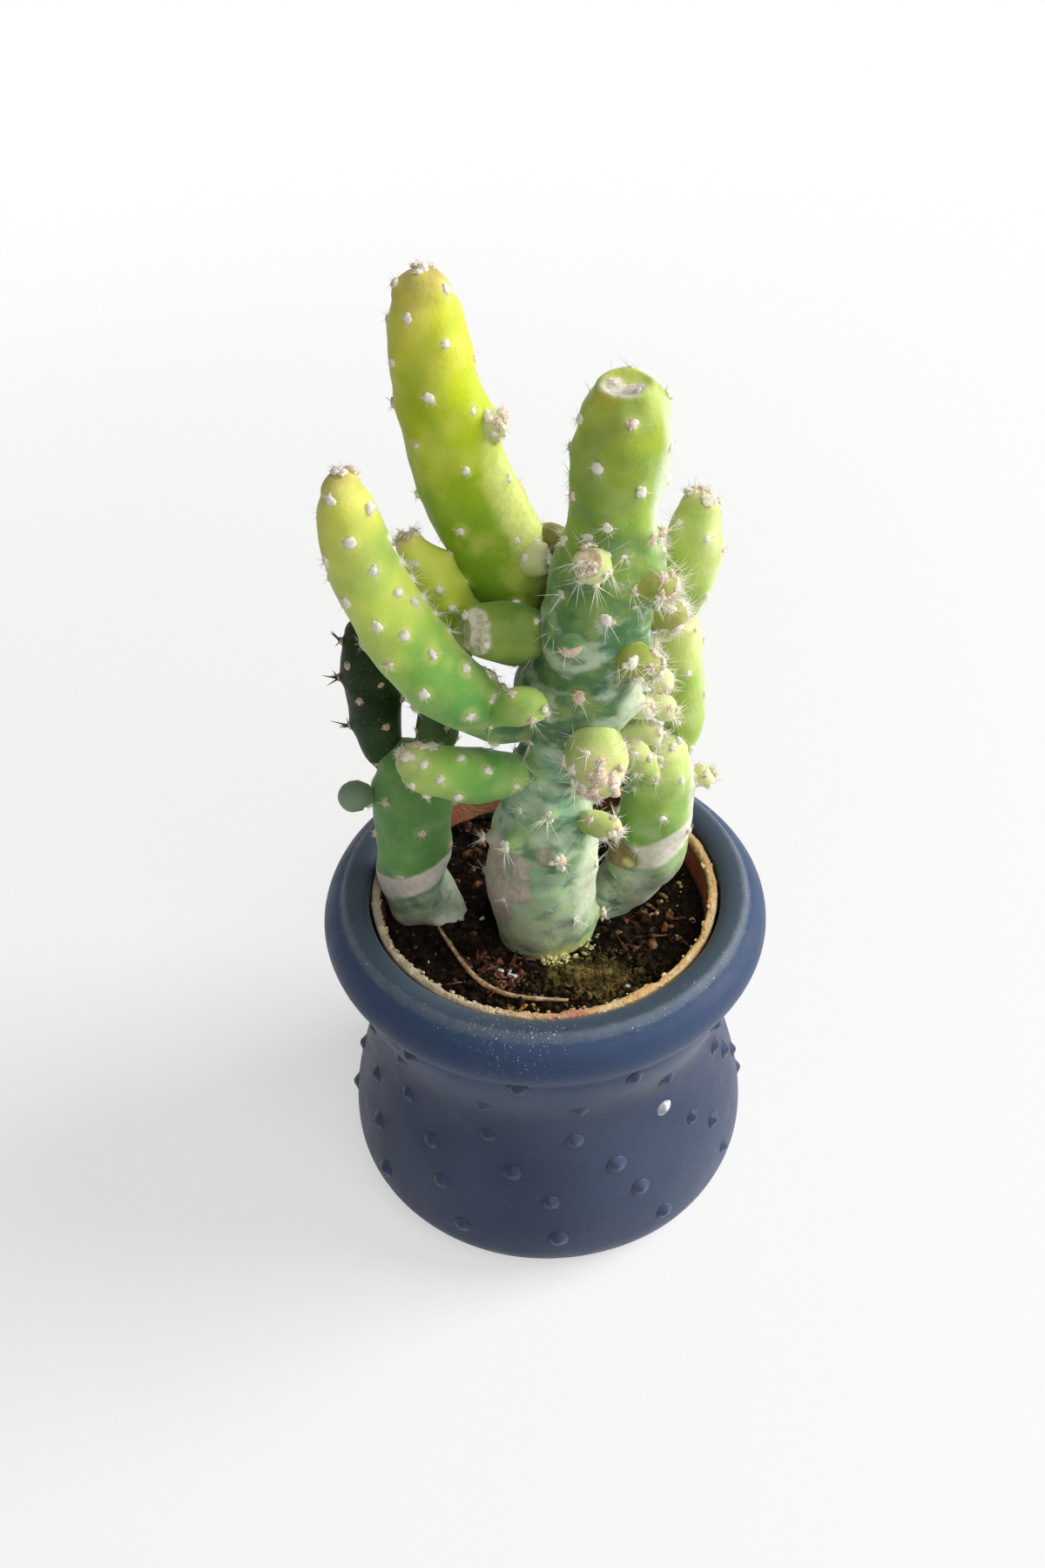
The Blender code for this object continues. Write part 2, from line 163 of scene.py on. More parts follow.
FRONT_PUP = (
    (7.5, -8.0, 111.5, 3.5),
    (9.0, -11.0, 112.0, 3.9),
    (8.5, -14.0, 112.0, 4.8),
    (8.5, -17.0, 111.5, 4.9),
    (8.5, -19.0, 110.5, 3.8),
)
LOW_PUP = (
    (6.0, -9.5, 93.5, 1.5),
    (9.3, -11.8, 94.0, 2.0),
    (11.3, -12.8, 94.0, 1.6),
)
RIGHT_BASE_STEM = (
    (9.5, 0.5, 57.0, 3.0),
    (13.5, 2.0, 64.5, 5.1),
    (17.0, 3.0, 68.0, 6.1),
    (20.0, 4.0, 74.5, 6.7),
    (21.0, 5.0, 83.5, 6.7),
    (21.5, 5.0, 91.5, 5.8),
    (22.0, 5.0, 96.0, 4.0),
)
RIGHT_MID_STEM = (
    (25.0, 7.5, 93.0, 1.9),
    (25.5, 8.0, 96.0, 2.3),
    (25.5, 8.0, 101.5, 3.6),
    (24.0, 8.0, 120.0, 3.5),
    (24.5, 8.0, 123.5, 2.5),
)
RIGHT_TOP_STEM = (
    (24.5, 8.0, 123.0, 2.1),
    (25.5, 8.0, 132.5, 4.3),
    (25.5, 8.0, 139.0, 4.4),
    (26.0, 8.0, 143.5, 3.3),
)
LEFT_ARM_PUP = (
    (-8.0, -11.5, 118.0, 1.7),
    (-4.5, -14.0, 121.5, 3.0),
    (-2.0, -15.0, 122.5, 2.9),
    (-1.0, -15.0, 122.0, 2.2),
)
ROUND_PUP = (
    (-29.5, 1.5, 89.0, 0.9),
    (-31.0, 1.0, 90.0, 1.2),
    (-32.5, 0.5, 91.5, 2.6),
    (-34.0, 0.0, 91.5, 2.6),
)
RIGHT_NUB = (
    (26.0, 6.0, 88.5, 0.9),
    (28.0, 6.0, 88.5, 1.3),
    (29.5, 6.0, 89.0, 1.7),
)
TALL_STEM_BUD = (
    (-9.5, 5.0, 158.5, 1.9),
    (-7.6, 4.5, 160.5, 2.1),
    (-6.2, 4.0, 162.0, 1.8),
)
TALL_STEM_STUB = (
    (-4.5, 3.0, 137.0, 2.0),
    (-0.5, 0.0, 140.0, 2.5),
    (1.0, -0.5, 140.5, 2.1),
)
BACK_BUD = (
    (4.5, 0.5, 140.5, 2.1),
    (3.0, 3.5, 141.0, 2.1),
    (2.0, 5.5, 141.0, 1.7),
)
CROWN_BUD = (
    (9.0, -10.5, 144.5, 2.0),
    (8.2, -12.8, 146.5, 2.5),
    (7.2, -14.8, 148.5, 2.4),
)
SCARRED_BUD = (
    (6.2, -11.2, 130.8, 2.4),
    (5.6, -12.2, 132.4, 2.9),
    (5.1, -12.8, 133.3, 2.7),
)
UPPER_RIGHT_BUD = (
    (13.0, -9.5, 142.5, 2.0),
    (16.0, -10.5, 142.5, 2.8),
    (18.5, -11.0, 142.0, 2.2),
)
MID_RIGHT_BUD = (
    (14.0, -6.0, 134.0, 1.6),
    (17.5, -6.0, 133.5, 2.2),
    (21.0, -6.0, 133.0, 2.1),
)
OLIVE_BUD = (
    (11.0, -11.0, 129.0, 2.2),
    (14.0, -13.0, 129.5, 2.7),
    (16.5, -13.0, 128.5, 2.2),
)
PALE_BUDS = (
    ((15.0, -6.0, 121.5, 1.0), (17.5, -6.0, 121.0, 1.3), (19.5, -6.0, 120.0, 1.8)),
    ((13.5, -7.0, 115.0, 1.0), (15.5, -8.0, 116.0, 1.4), (16.5, -9.0, 117.0, 1.7)),
    ((14.0, -4.5, 115.5, 1.0), (17.5, -5.0, 115.0, 1.3), (20.5, -5.0, 113.5, 2.0)),
    ((13.0, -6.0, 110.0, 1.0), (16.5, -6.0, 110.0, 1.2), (18.5, -6.0, 109.0, 1.8)),
)
LOBE_BUD = (
    (19.5, 1.5, 93.0, 1.7),
    (16.5, -1.0, 100.0, 2.3),
    (15.0, -2.0, 104.5, 2.1),
)
STRAW = (
    (-20.0, -5.0, 63.0),
    (-14.0, -16.5, 63.0),
    (-9.5, -21.0, 63.0),
    (-4.5, -23.0, 63.0),
    (3.5, -24.0, 63.0),
)
STRAW_RADIUS = 0.38
STRAW_JOINT = 0.12  # how far its joints stand out


# ---------------------------------------------------------------- materials


class Paint:
    """A Principled material, with short ways to add nodes to it."""

    def __init__(self, name, **settings):
        self.material = bpy.data.materials.new(name)
        self.material.use_nodes = True
        self.tree = self.material.node_tree
        self.shader = self.tree.nodes["Principled BSDF"]
        self.place = self.node("TexCoord").outputs["Object"]
        for key, value in settings.items():
            self.feed(self.shader.inputs[key.replace("_", " ")], value)

    def feed(self, socket, value):
        if isinstance(value, bpy.types.NodeSocket):
            self.tree.links.new(value, socket)
        else:
            socket.default_value = value

    def node(self, kind, *values, **settings):
        """A node whose first inputs take the values, and whose settings are set by name."""
        made = self.tree.nodes.new("ShaderNode" + kind)
        for key, value in settings.items():
            setattr(made, key, value)
        for socket, value in zip(made.inputs, values):
            if value is not None:
                self.feed(socket, value)
        return made

    def noise(self, size, detail=2.0, stretch=(1, 1, 1)):
        """Noise from 0 to 1 with features of about `size` millimetres."""
        scale = [1 / (size * MM * s) for s in stretch]
        spread = self.node("VectorMath", self.place, scale, operation="MULTIPLY").outputs[0]
        made = self.node("TexNoise", spread)
        made.inputs["Scale"].default_value = 1.0
        made.inputs["Detail"].default_value = detail
        return made.outputs["Fac"]

    def value(self, attribute):
        return self.node("Attribute", attribute_name=attribute).outputs["Fac"]

    def math(self, operation, a, b=0.0):
        return self.node("Math", a, b, operation=operation).outputs[0]

    def times(self, a, b):
        return self.math("MULTIPLY", a, b)

    def plus(self, a, b):
        return self.math("ADD", a, b)

    def distance(self, spot):
        """The distance, in metres, from a point of the object."""
        return self.node("VectorMath", self.place, spot, operation="DISTANCE").outputs["Value"]

    def span(self, value, low, high, to_low=0.0, to_high=1.0):
        """The value stretched so that low..high becomes to_low..to_high, and clamped."""
        made = self.node("MapRange", value, low, high, to_low, to_high)
        made.interpolation_type = "SMOOTHSTEP"
        return made.outputs[0]

    def mix(self, share, a, b):
        made = self.tree.nodes.new("ShaderNodeMix")
        made.data_type = "RGBA"
        self.feed(made.inputs["Factor"], share)
        self.feed(made.inputs["A"], a if isinstance(a, bpy.types.NodeSocket) else (*a, 1.0))
        self.feed(made.inputs["B"], b if isinstance(b, bpy.types.NodeSocket) else (*b, 1.0))
        return made.outputs["Result"]

    def ramp(self, share, stops):
        made = self.node("ValToRGB", share)
        points = made.color_ramp.elements
        while len(points) < len(stops):
            points.new(0.5)
        for point, (position, colour) in zip(points, stops):
            point.position = position
            point.color = (*colour, 1.0)
        return made.outputs["Color"]

    def finish(self, colour, height, depth, roughness=None):
        """Connects the colour, a bump `depth` millimetres deep, and the roughness."""
        self.feed(self.shader.inputs["Base Color"], colour)
        bump = self.node("Bump")
        bump.inputs["Strength"].default_value = 1.0
        bump.inputs["Distance"].default_value = depth * MM
        self.feed(bump.inputs["Height"], height)
        self.feed(self.shader.inputs["Normal"], bump.outputs["Normal"])
        if roughness is not None:
            self.feed(self.shader.inputs["Roughness"], roughness)
        return self.material


# ---------------------------------------------------------------- mesh helpers


def add_piece(name, shape, materials, replaces=None, smooth=True):
    """Turns a finished bmesh, in millimetres, into a piece of the object."""
    bmesh.ops.scale(shape, vec=(MM, MM, MM), verts=shape.verts)
    mesh = bpy.data.meshes.new(name)
    shape.to_mesh(mesh)
    shape.free()
    for material in materials:
        mesh.materials.append(material)
    if smooth:
        mesh.shade_smooth()
    piece = bpy.data.objects.new(name, mesh)
    bpy.context.scene.collection.objects.link(piece)
    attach(piece, "root")
    if replaces:
        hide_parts(replaces)


def pour(source, target):
    """Moves everything in one small bmesh into a larger one."""
    mesh = bpy.data.meshes.new("poured")
    source.to_mesh(mesh)
    source.free()
    target.from_mesh(mesh)
    bpy.data.meshes.remove(mesh)


def rolled_grid(columns, rows, place, layers=()):
    """A grid rolled into a closed skin.

    place(angle, row) gives a corner's spot and its values for the layers.
    """
    shape = bmesh.new()
    marks = [shape.verts.layers.float.new(name) for name in layers]
    bmesh.ops.create_grid(shape, x_segments=columns, y_segments=rows, size=1.0)
    for corner in shape.verts:
        column = round((corner.co.x + 1) / 2 * columns) % columns
        row = round((corner.co.y + 1) / 2 * rows)
        corner.co, values = place(TURN * column / columns, row)
        for mark, value in zip(marks, values):
            corner[mark] = value
    bmesh.ops.remove_doubles(shape, verts=shape.verts, dist=0.001)
    bmesh.ops.recalc_face_normals(shape, faces=shape.faces)
    return shape


def around(radius, bearing, height):
    """The point at a radius, a bearing in radians and a height."""
    return Vector((radius * math.cos(bearing), radius * math.sin(bearing), height))


def roughen(corners, centre, grain, depth):
    """Pushes a lump's corners in and out along lines from its centre."""
    for corner in corners:
        corner.co += (corner.co - centre) * noise.noise(corner.co * grain) * depth


def arc(centre, radius, start, end, steps):
    """Points on an arc in the (radius, height) plane; angles in degrees, counted from outward."""
    points = []
    for i in range(steps + 1):
        angle = math.radians(start + (end - start) * i / steps)
        points.append((centre[0] + radius * math.cos(angle), centre[1] + radius * math.sin(angle)))
    return points


def eased(start, end, steps):
    """Points on an S curve between two (radius, height) points, without the first."""
    points = []
    for i in range(1, steps + 1):
        t = i / steps
        bend = t * t * (3 - 2 * t)
        points.append((start[0] + (end[0] - start[0]) * bend, start[1] + (end[1] - start[1]) * t))
    return points


def straight(start, end, steps):
    """Points on a line between two (radius, height) points, without the first."""
    return [
        (start[0] + (end[0] - start[0]) * i / steps, start[1] + (end[1] - start[1]) * i / steps)
        for i in range(1, steps + 1)
    ]


def catmull(points, along):
    """The value at `along` on a smooth curve through tuples of numbers."""
    last = len(points) - 1
    span = min(int(along), last - 1)
    t = along - span
    a = points[max(span - 1, 0)]
    b = points[span]
    c = points[span + 1]
    d = points[min(span + 2, last)]
    squared, cubed = t**2, t**3
    return [
        q + 0.5 * ((r - p) * t + (2 * p - 5 * q + 4 * r - s) * squared + (3 * q - p - 3 * r + s) * cubed)
        for p, q, r, s in zip(a, b, c, d)
    ]


def sampled(knots, spacing):
    """Points on the smooth curve through the knots, about `spacing` apart."""
    path = []
    for span in range(len(knots) - 1):
        chord = math.dist(knots[span][:3], knots[span + 1][:3])
        steps = max(1, round(chord / spacing))
        path += [catmull(knots, span + i / steps) for i in range(steps)]
    return [*path, knots[-1]]


# ---------------------------------------------------------------- stems

# How a stem ends past its last knot: (lift, radius), as shares of the last radius
ROUND_TIP = [(0.9 * math.sin(a * TURN / 40), math.cos(a * TURN / 40)) for a in range(1, 11)]
CUT_TIP = [
    (0.07, 0.97), (0.12, 0.9), (0.13, 0.82), (0.09, 0.74), (0.05, 0.62), (0.03, 0.4), (0.03, 0.2),
    (0.04, 0.0),
]
TIPS = {"round": ROUND_TIP, "cut": CUT_TIP}
# Mark kinds; besides real wax and cork, some wax marks are painted light and one cork mark is painted
# shade
MARK_KINDS = ("cork_and_painted_shade", "wax_and_painted_light", "lime", "scar")
AREOLE_REACH = 8.0  # along the stem, past which an areole leaves the skin as it is
AREOLE_GAP = 4.2  # least gap from a chosen areole to one on the spiral
BROAD_LUMPS = 7.0  # sizes of the skin's unevenness
FINE_LUMPS = 2.6
SLIM = 2.5  # stem radius below which that unevenness fades


class Stem:
    """A stem's skin as rings along its centreline."""

    def __init__(self, knots, tip):
        path = sampled(knots, RING_SPACING)
        self.centres = [Vector(point[:3]) for point in path]
        self.radii = [point[3] for point in path]
        headings = [(b - a).normalized() for a, b in zip(self.centres, self.centres[1:])]
        self.headings = [*headings, headings[-1]]
        self.rim = len(path) - 1
        end = self.centres[-1]
        last_radius = path[-1][3]
        for lift, share in TIPS[tip]:
            self.centres.append(end + self.headings[-1] * lift * last_radius)
            self.radii.append(last_radius * share)
            self.headings.append(self.headings[-1])
        self.centres.insert(0, self.centres[0])
        self.radii.insert(0, 0.0)
        self.headings.insert(0, self.headings[0])
        self.radii[-1] = 0.0
        self.rim += 1  # the ring at the last knot
        front = Vector((0, -1, 0))
        if abs(front.dot(self.headings[0])) > 0.8:
            front = Vector((0, 0, 1))
        self.fronts = []
        self.along = [0.0]
        for i, heading in enumerate(self.headings):
            front = (front - heading * front.dot(heading)).normalized()
            self.fronts.append(front)
            if i:
                run = (self.centres[i] - self.centres[i - 1]).length
                step = math.hypot(run, self.radii[i] - self.radii[i - 1]) if i > 1 else 0.0
                self.along.append(self.along[-1] + step)
        self.length = self.along[-1]

    def ring(self, i, angle):
        """The point and the outward direction on ring i."""
        heading = self.headings[i]
        side = heading.cross(self.fronts[i])
        radial = self.fronts[i] * math.cos(angle) + side * math.sin(angle)
        low = max(i - 1, 0)
        high = min(i + 1, len(self.radii) - 1)
        run = (self.centres[high] - self.centres[low]).dot(heading)
        widening = self.radii[high] - self.radii[low]
        outward = radial * run - heading * widening
        return self.centres[i] + radial * self.radii[i], outward.normalized()

    def spot(self, along, angle):
        """The point and the outward direction at a distance from the root and an angle in degrees."""
        i = next((k for k, reach in enumerate(self.along) if reach >= along), len(self.along) - 1)
        angle = math.radians(angle)
        point, outward = self.ring(i, angle)
        if i > 1:
            share = (self.along[i] - along) / max(self.along[i] - self.along[i - 1], 1e-6)
            before, _ = self.ring(i - 1, angle)
            point = point.lerp(before, min(max(share, 0.0), 1.0))
        return point, outward


class Areole:
    """A woolly tuft on a stem, with the spines that stand in it."""

    def __init__(
        self, stem, along, angle, size=2.0, spines=0, reach=3.0, swell=0.0, wool="white", heap=3,
        droop=0.0,
    ):
        self.along = along
        self.angle = angle
        self.size = size
        self.spines = spines
        self.reach = reach
        self.swell = swell
        self.wool = wool
        self.heap = heap
        self.droop = droop
        self.point, self.outward = stem.spot(along, angle)


class Mark:
    """A patch or band of cork, wax, yellow lime or pale scar on a stem's skin; a few wax marks are
    painted light and one cork mark is painted shade.
    """

    def __init__(self, kind, along, width, angle=None, spread=60, lean=0.0, strength=1.0):
        self.kind = kind
        self.along = along
        self.width = width
        self.angle = angle
        self.spread = spread
        self.lean = lean
        self.strength = strength

    def at(self, along, degrees):
        shift = self.lean * math.sin(math.radians(degrees))
        away = ((along - self.along - shift) / self.width) ** 2
        if self.angle is not None:
            away += (((degrees - self.angle + 180) % 360 - 180) / self.spread) ** 2
        return self.strength * math.exp(-(away**2))


def spiral(stem, spacing, phase, start):
    """(along, angle) places on a golden-angle spiral that tightens towards the tip."""
    places = []
    along = start
    angle = phase
    while along < stem.length - 0.8:
        places.append((along, angle))
        along += spacing * (1 - 0.45 * along / stem.length)
        angle -= GOLDEN_ANGLE
    return places


def bell(away, width):
    """A bell curve: 1 at no distance, and nearly 0 past two widths."""
    return math.exp(-((away / width) ** 2))


def skin_mesh(stem, areoles, marks, bulges, folds, sides, lumps, swell):
    """The stem's skin with its swellings, and with attributes for the material."""
    humps = [(stem.spot(along, angle)[0], reach, height) for along, angle, reach, height in bulges]

    def place(angle, row):
        point, outward = stem.ring(row, angle)
        along = stem.along[row]
        degrees = math.degrees(angle)
        near = knob = 0.0
        low_ground = 1.0
        rise = sum(height * bell((hump - point).length, reach) for hump, reach, height in humps)
        for level, depth, width in folds:
            drift = noise.noise(around(1.0, angle, level)) * 2.2
            rise -= depth * bell(along - level - drift, width)
        for areole in areoles:
            if abs(areole.along - along) > AREOLE_REACH:
                continue
            gap = (areole.point - point).length
            near = max(near, bell(gap, areole.size * 0.9))
            low_ground *= 1 - bell(gap, areole.size * 1.1)
            knob += (areole.swell * bell(gap, areole.size * 0.4 + areole.swell * 0.28)) ** 2
        wave = noise.noise(point / BROAD_LUMPS) * lumps + noise.noise(point / FINE_LUMPS) * lumps * 0.3
        soft = min(1.0, stem.radii[row] / SLIM)
        patches = [
            max([mark.at(along, degrees) for mark in marks if mark.kind == kind], default=0.0)
            for kind in MARK_KINDS
        ]
        rise += swell * (1 - low_ground) + math.sqrt(knob) + wave * soft
        return point + outward * rise, (along / stem.length, near, *patches)

    return rolled_grid(sides, len(stem.centres) - 1, place, ("along", "areole", *MARK_KINDS))


# How many of a tuft's cushions are tan, by the kind of wool
TAN_SHARE = {"white": 0.06, "mixed": 0.45, "tan": 0.85}


def facing(point, outward):
    """A matrix that moves Z to `outward` at the point."""
    return Matrix.Translation(point) @ outward.to_track_quat("Z", "Y").to_matrix().to_4x4()


def add_tuft(shape, areole, dice):
    """A lumpy cushion of wool with smaller ones crowded round it."""
    tuft = bmesh.new()
    seat = facing(areole.point + areole.outward * areole.lift, areole.outward)
    for k in range(areole.heap + 1):
        radius = areole.size * dice.uniform(0.36, 0.44)
        away = 0.0
        if k:
            radius *= dice.uniform(0.5, 0.75)
            away = areole.size * dice.uniform(0.15, 0.16 + 0.06 * areole.heap)
        turn = dice.uniform(0, TURN)
        spot = Matrix.Translation((math.cos(turn) * away, math.sin(turn) * away, -0.15 * away))
        flat = Matrix.Diagonal((radius, radius * dice.uniform(0.75, 1.0), radius * 0.6, 1.0))
        place = seat @ spot @ Matrix.Rotation(turn * 3, 4, "Z") @ flat
        made = bmesh.ops.create_icosphere(tuft, subdivisions=1 if k else 2, radius=1.0, matrix=place)
        roughen(made["verts"], place.translation, 1.8, 0.45)
        tan = dice.random() < TAN_SHARE[areole.wool]
        for face in {face for corner in made["verts"] for face in corner.link_faces}:
            face.material_index = int(tan)
    pour(tuft, shape)


def add_spine(shape, base, direction, length, thickness, sides=4):
    """A tapering needle, closed at its foot."""
    bmesh.ops.create_cone(
        shape,
        cap_ends=True,
        segments=sides,
        radius1=thickness / 2,
        radius2=thickness * 0.08,
        depth=length,
        matrix=facing(base + direction * length / 2, direction),
    )


def scattered(outward, dice, low, high):
    """A direction at low..high degrees from `outward`."""
    seat = facing(Vector(), outward).to_3x3()
    tilt = math.radians(dice.uniform(low, high))
    return seat @ around(math.sin(tilt), dice.uniform(0, TURN), math.cos(tilt))


def grow(
    name, knots, skin, slot, tip="round", sides=48, spacing=2.2, phase=0.0, start=3.0, size=1.9,
    chosen=(), crown=0, crown_wool="mixed", crown_spread=0.55, spines=0, reach=2.5, lumps=0.3,
    swell=0.35, marks=(), bristles=14, spine_skin=None, wool="white", hair=0.1, bulges=(), folds=(),
    heap=3,
):
    """A stem with its areoles, its wool and its spines, as three pieces."""
    stem = Stem(knots, tip)
    dice = random.Random(name)
    areoles = [Areole(stem, *place, **{"heap": heap, **facts}) for place, facts in chosen]
    for along, angle in spiral(stem, spacing, phase, start):
        point, _ = stem.spot(along, angle)
        if all((point - other.point).length > AREOLE_GAP for other in areoles[: len(chosen)]):
            facts = {"spines": spines, "reach": reach, "wool": wool, "heap": heap}
            areoles.append(Areole(stem, along, angle, size * dice.uniform(0.8, 1.15), **facts))
    for _ in range(crown):
        along = stem.length - abs(dice.gauss(0, 1)) * stem.radii[stem.rim] * crown_spread
        facts = {"spines": spines // 2, "reach": reach * 0.8, "wool": crown_wool, "heap": heap}
        angle = dice.uniform(0, 360)
        areoles.append(Areole(stem, along, angle, size * dice.uniform(0.6, 1.1), **facts))
    for areole in areoles:
        areole.lift = swell * 0.9 + areole.swell * 0.95
    shape = skin_mesh(stem, areoles[: len(areoles) - crown], marks, bulges, folds, sides, lumps, swell)
    add_piece(name + "_skin", shape, [skin], replaces=name)
    tufts = bmesh.new()
    needles = bmesh.new()
    for areole in areoles:
        add_tuft(tufts, areole, dice)
        bundle = bmesh.new()
        seat = areole.point + areole.outward * areole.lift
        for _ in range(bristles):
            direction = scattered(areole.outward, dice, 40, 88)
            add_spine(bundle, seat, direction, areole.size * dice.uniform(0.55, 0.95), hair, 3)
        for _ in range(areole.spines):
            direction = scattered(areole.outward, dice, 25, 75)
            direction.z -= areole.droop
            direction.normalize()
            add_spine(bundle, seat, direction, areole.reach * dice.uniform(0.6, 1.15), hair * 1.3)
        pour(bundle, needles)
    add_piece(name + "_wool", tufts, [WOOL, TAN_WOOL])
    add_piece(name + "_spines", needles, [spine_skin or SPINE])


# Colours of a skin's patches and small details, unless the skin has its own
CORK = (0.62, 0.54, 0.42)
WAX = (0.74, 0.73, 0.62)
LIME = (0.80, 0.78, 0.34)
SCAB_RIM = (0.42, 0.36, 0.24)
SCAR_PIT = (0.52, 0.46, 0.34)
SCAR_FACE = (0.78, 0.74, 0.59)
PORE = (0.75, 0.8, 0.4)
VEIN = (0.62, 0.72, 0.57)
MARBLE_PIT = (0.07, 0.19, 0.11)


def make_skin(
    name, stops, warm, cool, roughness=0.5, cork_and_painted_shade=CORK, wax_and_painted_light=WAX, lime=LIME, marbled=0.0, marbled_to=0.62,
    sheen=0.16, gloss=0.2,
):
    """Cactus skin: colours from root to tip, with blotches, pores, corky scars and wax, where some wax
    marks are painted light and one cork mark is painted shade.
    """
    paint = Paint(
        name,
        Subsurface_Weight=0.35,
        Subsurface_Radius=(0.9, 1.0, 0.2),
        Subsurface_Scale=0.0015,
        Specular_IOR_Level=gloss,
        Sheen_Weight=sheen,
        Sheen_Roughness=0.45,
    )
    drift = paint.times(paint.math("SUBTRACT", paint.noise(9), 0.5), 0.2)
    colour = paint.ramp(paint.plus(paint.value("along"), drift), stops)
    blotch = paint.span(paint.noise(6, 3), 0.42, 0.68)
    colour = paint.mix(paint.times(blotch, 0.4), colour, warm)
    shade = paint.span(paint.noise(13, 2), 0.45, 0.7)
    colour = paint.mix(paint.times(shade, 0.55), colour, cool)
    pores = paint.span(paint.noise(0.45, 1), 0.6, 0.72)
    colour = paint.mix(paint.times(pores, 0.09), colour, PORE)
    halo = paint.span(paint.value("areole"), 0.25, 0.75)
    colour = paint.mix(paint.times(halo, 0.35), colour, warm)
    if marbled:
        ends = (marbled_to - 0.07, marbled_to + 0.07)
        marbled = paint.span(paint.value("along"), *ends, marbled, marbled * 0.12)
        flow = (1.0, 1.0, 0.65)
        veins = paint.span(paint.noise(5.5, 4, flow), 0.45, 0.64)
        colour = paint.mix(paint.times(veins, marbled), colour, VEIN)
        pits = paint.span(paint.noise(3.8, 4, flow), 0.49, 0.68)
        colour = paint.mix(paint.times(pits, marbled), colour, MARBLE_PIT)
    grain = paint.noise(1.1, 4)
    edge = paint.times(paint.math("SUBTRACT", paint.noise(2.6, 5), 0.5), 1.1)
    # The wax mask also carries painted light on some flanks, and the cork mask below carries painted
    # shade on one knob's flank.
    bloom_and_painted_light = paint.span(paint.plus(paint.value("wax_and_painted_light"), paint.times(edge, 0.4)), 0.25, 0.95)
    wax_and_painted_light_colour = paint.mix(paint.span(grain, 0.42, 0.62), wax_and_painted_light, [c * 0.88 for c in wax_and_painted_light])
    colour = paint.mix(bloom_and_painted_light, colour, wax_and_painted_light_colour)
    scab_and_painted_shade = paint.plus(paint.value("cork_and_painted_shade"), edge)
    colour = paint.mix(paint.span(scab_and_painted_shade, 0.22, 0.5, 0.0, 0.45), colour, SCAB_RIM)
    bark = paint.span(scab_and_painted_shade, 0.36, 0.66)
    bark_and_painted_shade_colour = paint.mix(paint.span(grain, 0.35, 0.65), cork_and_painted_shade, [c * 0.78 for c in cork_and_painted_shade])
    colour = paint.mix(bark, colour, bark_and_painted_shade_colour)
    limed = paint.span(paint.plus(paint.value("lime"), paint.times(edge, 0.5)), 0.25, 0.95)
    colour = paint.mix(limed, colour, lime)
    scar = paint.span(paint.plus(paint.value("scar"), paint.times(edge, 0.6)), 0.3, 0.7)
    specks = paint.plus(paint.times(grain, 0.7), paint.times(paint.noise(0.35, 2), 0.3))
    scar_colour = paint.mix(paint.span(specks, 0.36, 0.56), SCAR_PIT, SCAR_FACE)
    colour = paint.mix(scar, colour, scar_colour)
    dry = paint.math("MAXIMUM", bark, paint.math("MAXIMUM", bloom_and_painted_light, scar))
    rough = paint.span(dry, 0.0, 1.0, roughness, 0.85)
    relief = paint.plus(paint.noise(0.7, 2), paint.times(paint.times(bark, grain), 3.0))
    return paint.finish(colour, relief, 0.09, rough)


def make_wool(name, light, dark):
    paint = Paint(name, Roughness=0.95, Sheen_Weight=0.2, Specular_IOR_Level=0.1)
    fibres = paint.noise(0.3, 3)
    colour = paint.mix(paint.span(fibres, 0.36, 0.54), dark, light)
    return paint.finish(colour, fibres, 0.10)


def make_spine(name, light, dark):
    paint = Paint(name, Roughness=0.45, Subsurface_Weight=0.2, Subsurface_Scale=0.0006)
    colour = paint.mix(paint.span(paint.noise(1.6, 1), 0.35, 0.65), light, dark)
    return paint.finish(colour, paint.noise(0.3, 1), 0.02)


WOOL = make_wool("white_wool", (0.95, 0.91, 0.80), (0.84, 0.77, 0.62))
TAN_WOOL = make_wool("tan_wool", (0.86, 0.70, 0.55), (0.60, 0.40, 0.28))
SPINE = make_spine("pale_spine", (0.96, 0.94, 0.84), (0.86, 0.80, 0.62))
DARK_SPINE = make_spine("dark_spine", (0.17, 0.11, 0.07), (0.06, 0.035, 0.02))

YOUNG = make_skin(
    "young_skin",
    ((0.0, (0.10, 0.22, 0.010)), (0.28, (0.20, 0.36, 0.012)), (0.5, (0.38, 0.54, 0.014)),
     (0.72, (0.62, 0.70, 0.02)), (0.90, (0.76, 0.75, 0.07)), (1.0, (0.42, 0.25, 0.13))),
    # This wax colour serves only the painted light on the tall stem's lower right flank.
    warm=(0.84, 0.81, 0.18), cool=(0.20, 0.40, 0.008), wax_and_painted_light=(0.74, 0.80, 0.26), sheen=0.08,
)
FINGER = make_skin(
    "finger_skin",
    (
        (0.0, (0.40, 0.52, 0.04)), (0.45, (0.62, 0.72, 0.07)), (0.85, (0.80, 0.82, 0.16)),
        (1.0, (0.74, 0.54, 0.34)),
    ),
    warm=(0.86, 0.84, 0.20), cool=(0.20, 0.40, 0.01),
)
ARM_SKIN = make_skin(
    "arm_skin",
    (
        (0.0, (0.10, 0.20, 0.11)), (0.10, (0.10, 0.24, 0.10)), (0.26, (0.14, 0.40, 0.10)),
        (0.42, (0.32, 0.60, 0.09)), (0.6, (0.64, 0.80, 0.13)), (0.9, (0.78, 0.77, 0.12)),
        (1.0, (0.46, 0.32, 0.16)),
    ),
    warm=(0.80, 0.85, 0.24), cool=(0.15, 0.42, 0.09),
)
